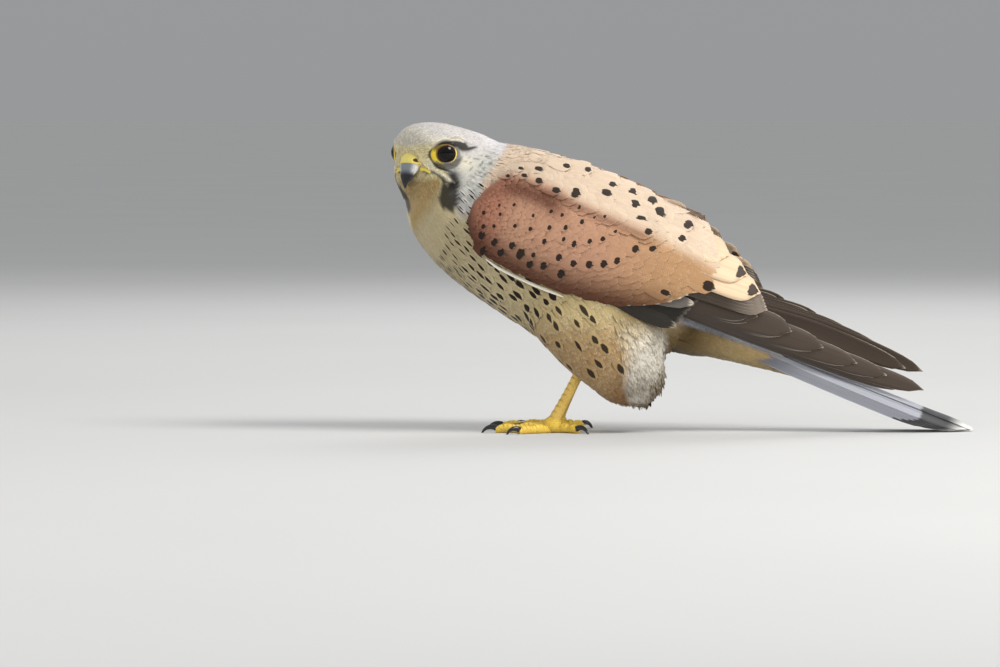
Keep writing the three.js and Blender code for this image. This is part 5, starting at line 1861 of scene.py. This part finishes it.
# %% [markdown]
# ## Legs, toes and claws
#
# The bare yellow shank has a row of broad scutes down its front, each overlapping the next, and
# the toes carry the same on top, over round pads. A bump in the shader could draw them, but steps
# in the tubes' radius also show at the outline. The claws are smooth black hooks.

# %% Legs, toes and claws
FOOT = np.array([-70, 15, 5.2])
ANKLE = np.array([-49.9, 16.5, 42.4])
RIGHT_FOOT_BACK = 3
# for each toe's number: degrees outwards from straight ahead, length, radius at its root, scutes
TOES = {3: (2, 30, 2.7, 13), 4: (40, 22, 2.45, 10), 2: (-34, 20, 2.55, 9), 1: (172, 15, 2.6, 7)}
LEG = srgb(228, 196, 104)
TOE = srgb(236, 204, 84)
SEAM = srgb(168, 124, 52)


def front_share(angle, spread):
    """1 in front of a tube, at angle 0, falling to 0 at the spread to either side."""
    return ease(spread, spread * 0.6, np.abs((angle + np.pi) % (2 * np.pi) - np.pi))


def scutes(count, depth, spread):
    """A saw-toothed step in the radius, count times along, fading round the sides."""
    def shape(share, angle):
        return depth * (((share * count) % 1) ** 1.5 - 0.3) * front_share(angle, spread)
    return shape


def scute_tones(rows, around, count, spread, ground):
    """Colours of a scaled tube, with a dark line under each scute's edge, and where it is smooth."""
    saw = (np.linspace(0, 1, rows)[:, None] * count) % 1
    front = front_share(2 * np.pi * np.arange(around)[None] / around, spread)
    line = np.maximum(ease(0.22, 0.05, saw), ease(0.88, 1.0, saw)) * front
    tones = blend(ground + np.zeros((rows, around, 3)), SEAM, 0.75 * line)
    return tones.reshape(-1, 3), np.broadcast_to(front, (rows, around)).reshape(-1, 1) * [1.0, 1.0, 1.0]


leg_material, tree, shader = material("scaled yellow skin", 0.5, Specular_IOR_Level=0.35)
place = add(tree, "TexCoord", output=3)
cells = add(tree, "TexVoronoi", {"Vector": place, "Scale": 1250.0}, feature="DISTANCE_TO_EDGE")
seams = ramp(tree, cells, 0.0, 0.1)
patches = add(tree, "TexNoise", {"Vector": place, "Scale": 160.0, "Detail": 3.0})
ground = add(tree, "Attribute", attribute_name="tone")
warm_share = maths(tree, "MULTIPLY", ramp(tree, patches, 0.4, 0.7), 0.25)
warm = mix(tree, warm_share, ground, opaque(206, 158, 66))
# grainy skin only at the sides: the broad scutes in front carry a value of 1 and stay smooth
smooth_scute = add(tree, "Attribute", output="Fac", attribute_name="scute")
grainy = maths(tree, "MAXIMUM", seams, smooth_scute)
tree.links.new(mix(tree, grainy, opaque(186, 144, 70), warm), shader.inputs["Base Color"])
bumpy(tree, shader, 0.4, 0.00025, grainy)

claw_material, tree, shader = material("claw horn", 0.25, Coat_Weight=0.3)
dark = mix(tree, noise_of(tree, 600.0, 2.0), opaque(16, 15, 18), opaque(44, 40, 42))
tree.links.new(dark, shader.inputs["Base Color"])


# %% Paths of toes and claws
def foot_place(side):
    """The middle of one foot."""
    return np.array([FOOT[0] + (side < 0) * RIGHT_FOOT_BACK, -side * FOOT[1], FOOT[2]])


def toe_path(side, number, count=60):
    """Path and radii of a toe: it curls a little inwards, thins, and swells at each joint's pad."""
    outwards_by, length, root, _ = TOES[number]
    foot = foot_place(side)
    s = np.linspace(0, 1, count)
    reach = 1.5 + (length - 1.5) * s
    curl = np.radians(outwards_by) * (1 - 0.12 * s)
    r = root * (1 - 0.22 * s) + 0.22 * np.cos(5 * np.pi * s)
    x, y = foot[0] - reach * np.cos(curl), foot[1] - side * reach * np.sin(curl)
    return np.stack([x, y, r - 0.25 + 0.35 * np.sin(np.pi * s)], -1), r


def claw_path(side, number, count=30):
    """Path and radii of a claw: it climbs a little, then hooks down to the floor."""
    path, _ = toe_path(side, number)
    end = path[-1]
    ahead = unit((path[-1] - path[-8]) * [1, 1, 0])
    bend = 6.4 if number == 1 else 5.4
    s = np.linspace(0, 1, count)
    angle = 0.5 - 1.95 * s
    along = bend * (np.sin(0.5) - np.sin(angle)) - 0.5
    up = bend * (np.cos(angle) - np.cos(0.5))
    points = end + along[:, None] * ahead + np.stack([0 * s, 0 * s, up + 0.9], -1)
    return points, 1.5 * (1 - s) ** 0.8 + 0.12


def on_floor(tubes):
    """Points and faces of closed tubes, with what would lie under the floor laid on it."""
    return joined([np.maximum(tube, [-np.inf, -np.inf, 0]) for tube in tubes])


# %% Legs and claws
shank_radius = through((0, 3.3), (0.2, 2.75), (0.4, 2.6), (0.6, 2.65), (0.8, 2.9), (1, 3.5), (1.1, 3.6))
for side, title in SIDES.items():
    foot = foot_place(side)
    ankle = ANKLE * [1, -side, 1]
    s = np.linspace(-0.02, 1.1, 110)
    path = foot + (ankle - foot) * s[:, None]
    tubes = [tube_along(path, shank_radius(s), 32, up=(-1, 0, 0.3), shape=scutes(14, 0.36, 1.7))]
    looks = [scute_tones(110, 32, 14, 1.7, LEG)]
    claws = []
    for number, (_, _, _, rows) in TOES.items():
        toe, r = toe_path(side, number)
        tubes.append(tube_along(toe, r, 28, shape=scutes(rows, 0.32, 1.6)))
        looks.append(scute_tones(len(toe), 28, rows, 1.6, TOE))
        claw, r = claw_path(side, number)
        claws.append(tube_along(claw, r, 20))
    # the ball of the foot, where the toes meet
    palm = np.linspace(0.03, np.pi - 0.03, 24)[:, None]
    angle = np.linspace(0, 2 * np.pi, 32, endpoint=False)
    across, over = 5.4 * np.sin(palm) * np.cos(angle), 4.4 * np.sin(palm) * np.sin(angle)
    tubes.append(foot + [0, 0, -0.8] + np.stack([5.0 * np.cos(palm) + 0 * angle, across, over], -1))
    looks.append((TOE + np.zeros((24 * 32, 3)), np.zeros((24 * 32, 3))))
    tones, smoothed = (np.vstack(values) for values in zip(*looks))
    piece("leg_" + title, *on_floor(tubes), leg_material, "leg_scales",
          ("tarsus_" + title, *(f"toe_{title}_{n}" for n in TOES)),
          colours={"tone": tones, "scute": smoothed})
    piece("claws_" + title, *on_floor(claws), claw_material, "claw_horn", [f"claw_{title}_{n}" for n in TOES])

# %% [markdown]
# ## Floor and sky
#
# The model stands on a flat pale floor. A curved backdrop would fit into a small room, but one
# flat sheet that reaches far back keeps an even grey. The sky darkens towards the horizon to the
# grey of the far floor, so that no line crosses the picture.

# %% Floor and sky
floor_material, tree, shader = material("pale floor", 0.95, Specular_IOR_Level=0.1)
mottle = mix(tree, noise_of(tree, 3.0, 2.0), (0.6, 0.6, 0.59, 1), (0.64, 0.64, 0.63, 1))
tree.links.new(mottle, shader.inputs["Base Color"])
FLOOR_REACH = 40000  # 40 m each way
x = np.linspace(-FLOOR_REACH, FLOOR_REACH, 41)
points = np.stack(np.broadcast_arrays(x[None], x[:, None], 0.0), -1)
mesh = bpy.data.meshes.new("floor")
mesh.from_pydata((points.reshape(-1, 3) * MM).tolist(), [], grid_faces(41, 41).tolist())
mesh.materials.append(floor_material)
mesh.polygons.foreach_set("use_smooth", np.ones(len(mesh.polygons), bool))
floor = in_scene("floor", mesh)

sky = bpy.data.worlds.new("sky")
sky.use_nodes = True
bpy.context.scene.world = sky
tree = sky.node_tree
direction = add(tree, "TexCoord", output="Generated")
height = add(tree, "SeparateXYZ", {0: direction}, output="Z")
limits = {"Value": height, "From Min": 0.0, "From Max": 0.35, "To Min": 0.362, "To Max": 0.58}
fade = add(tree, "MapRange", limits, interpolation_type="SMOOTHSTEP")
background = tree.nodes["Background"]
background.inputs["Color"].default_value = (0.87, 0.88, 0.9, 1)
tree.links.new(fade, background.inputs["Strength"])
print("floor:", len(mesh.polygons), "faces")
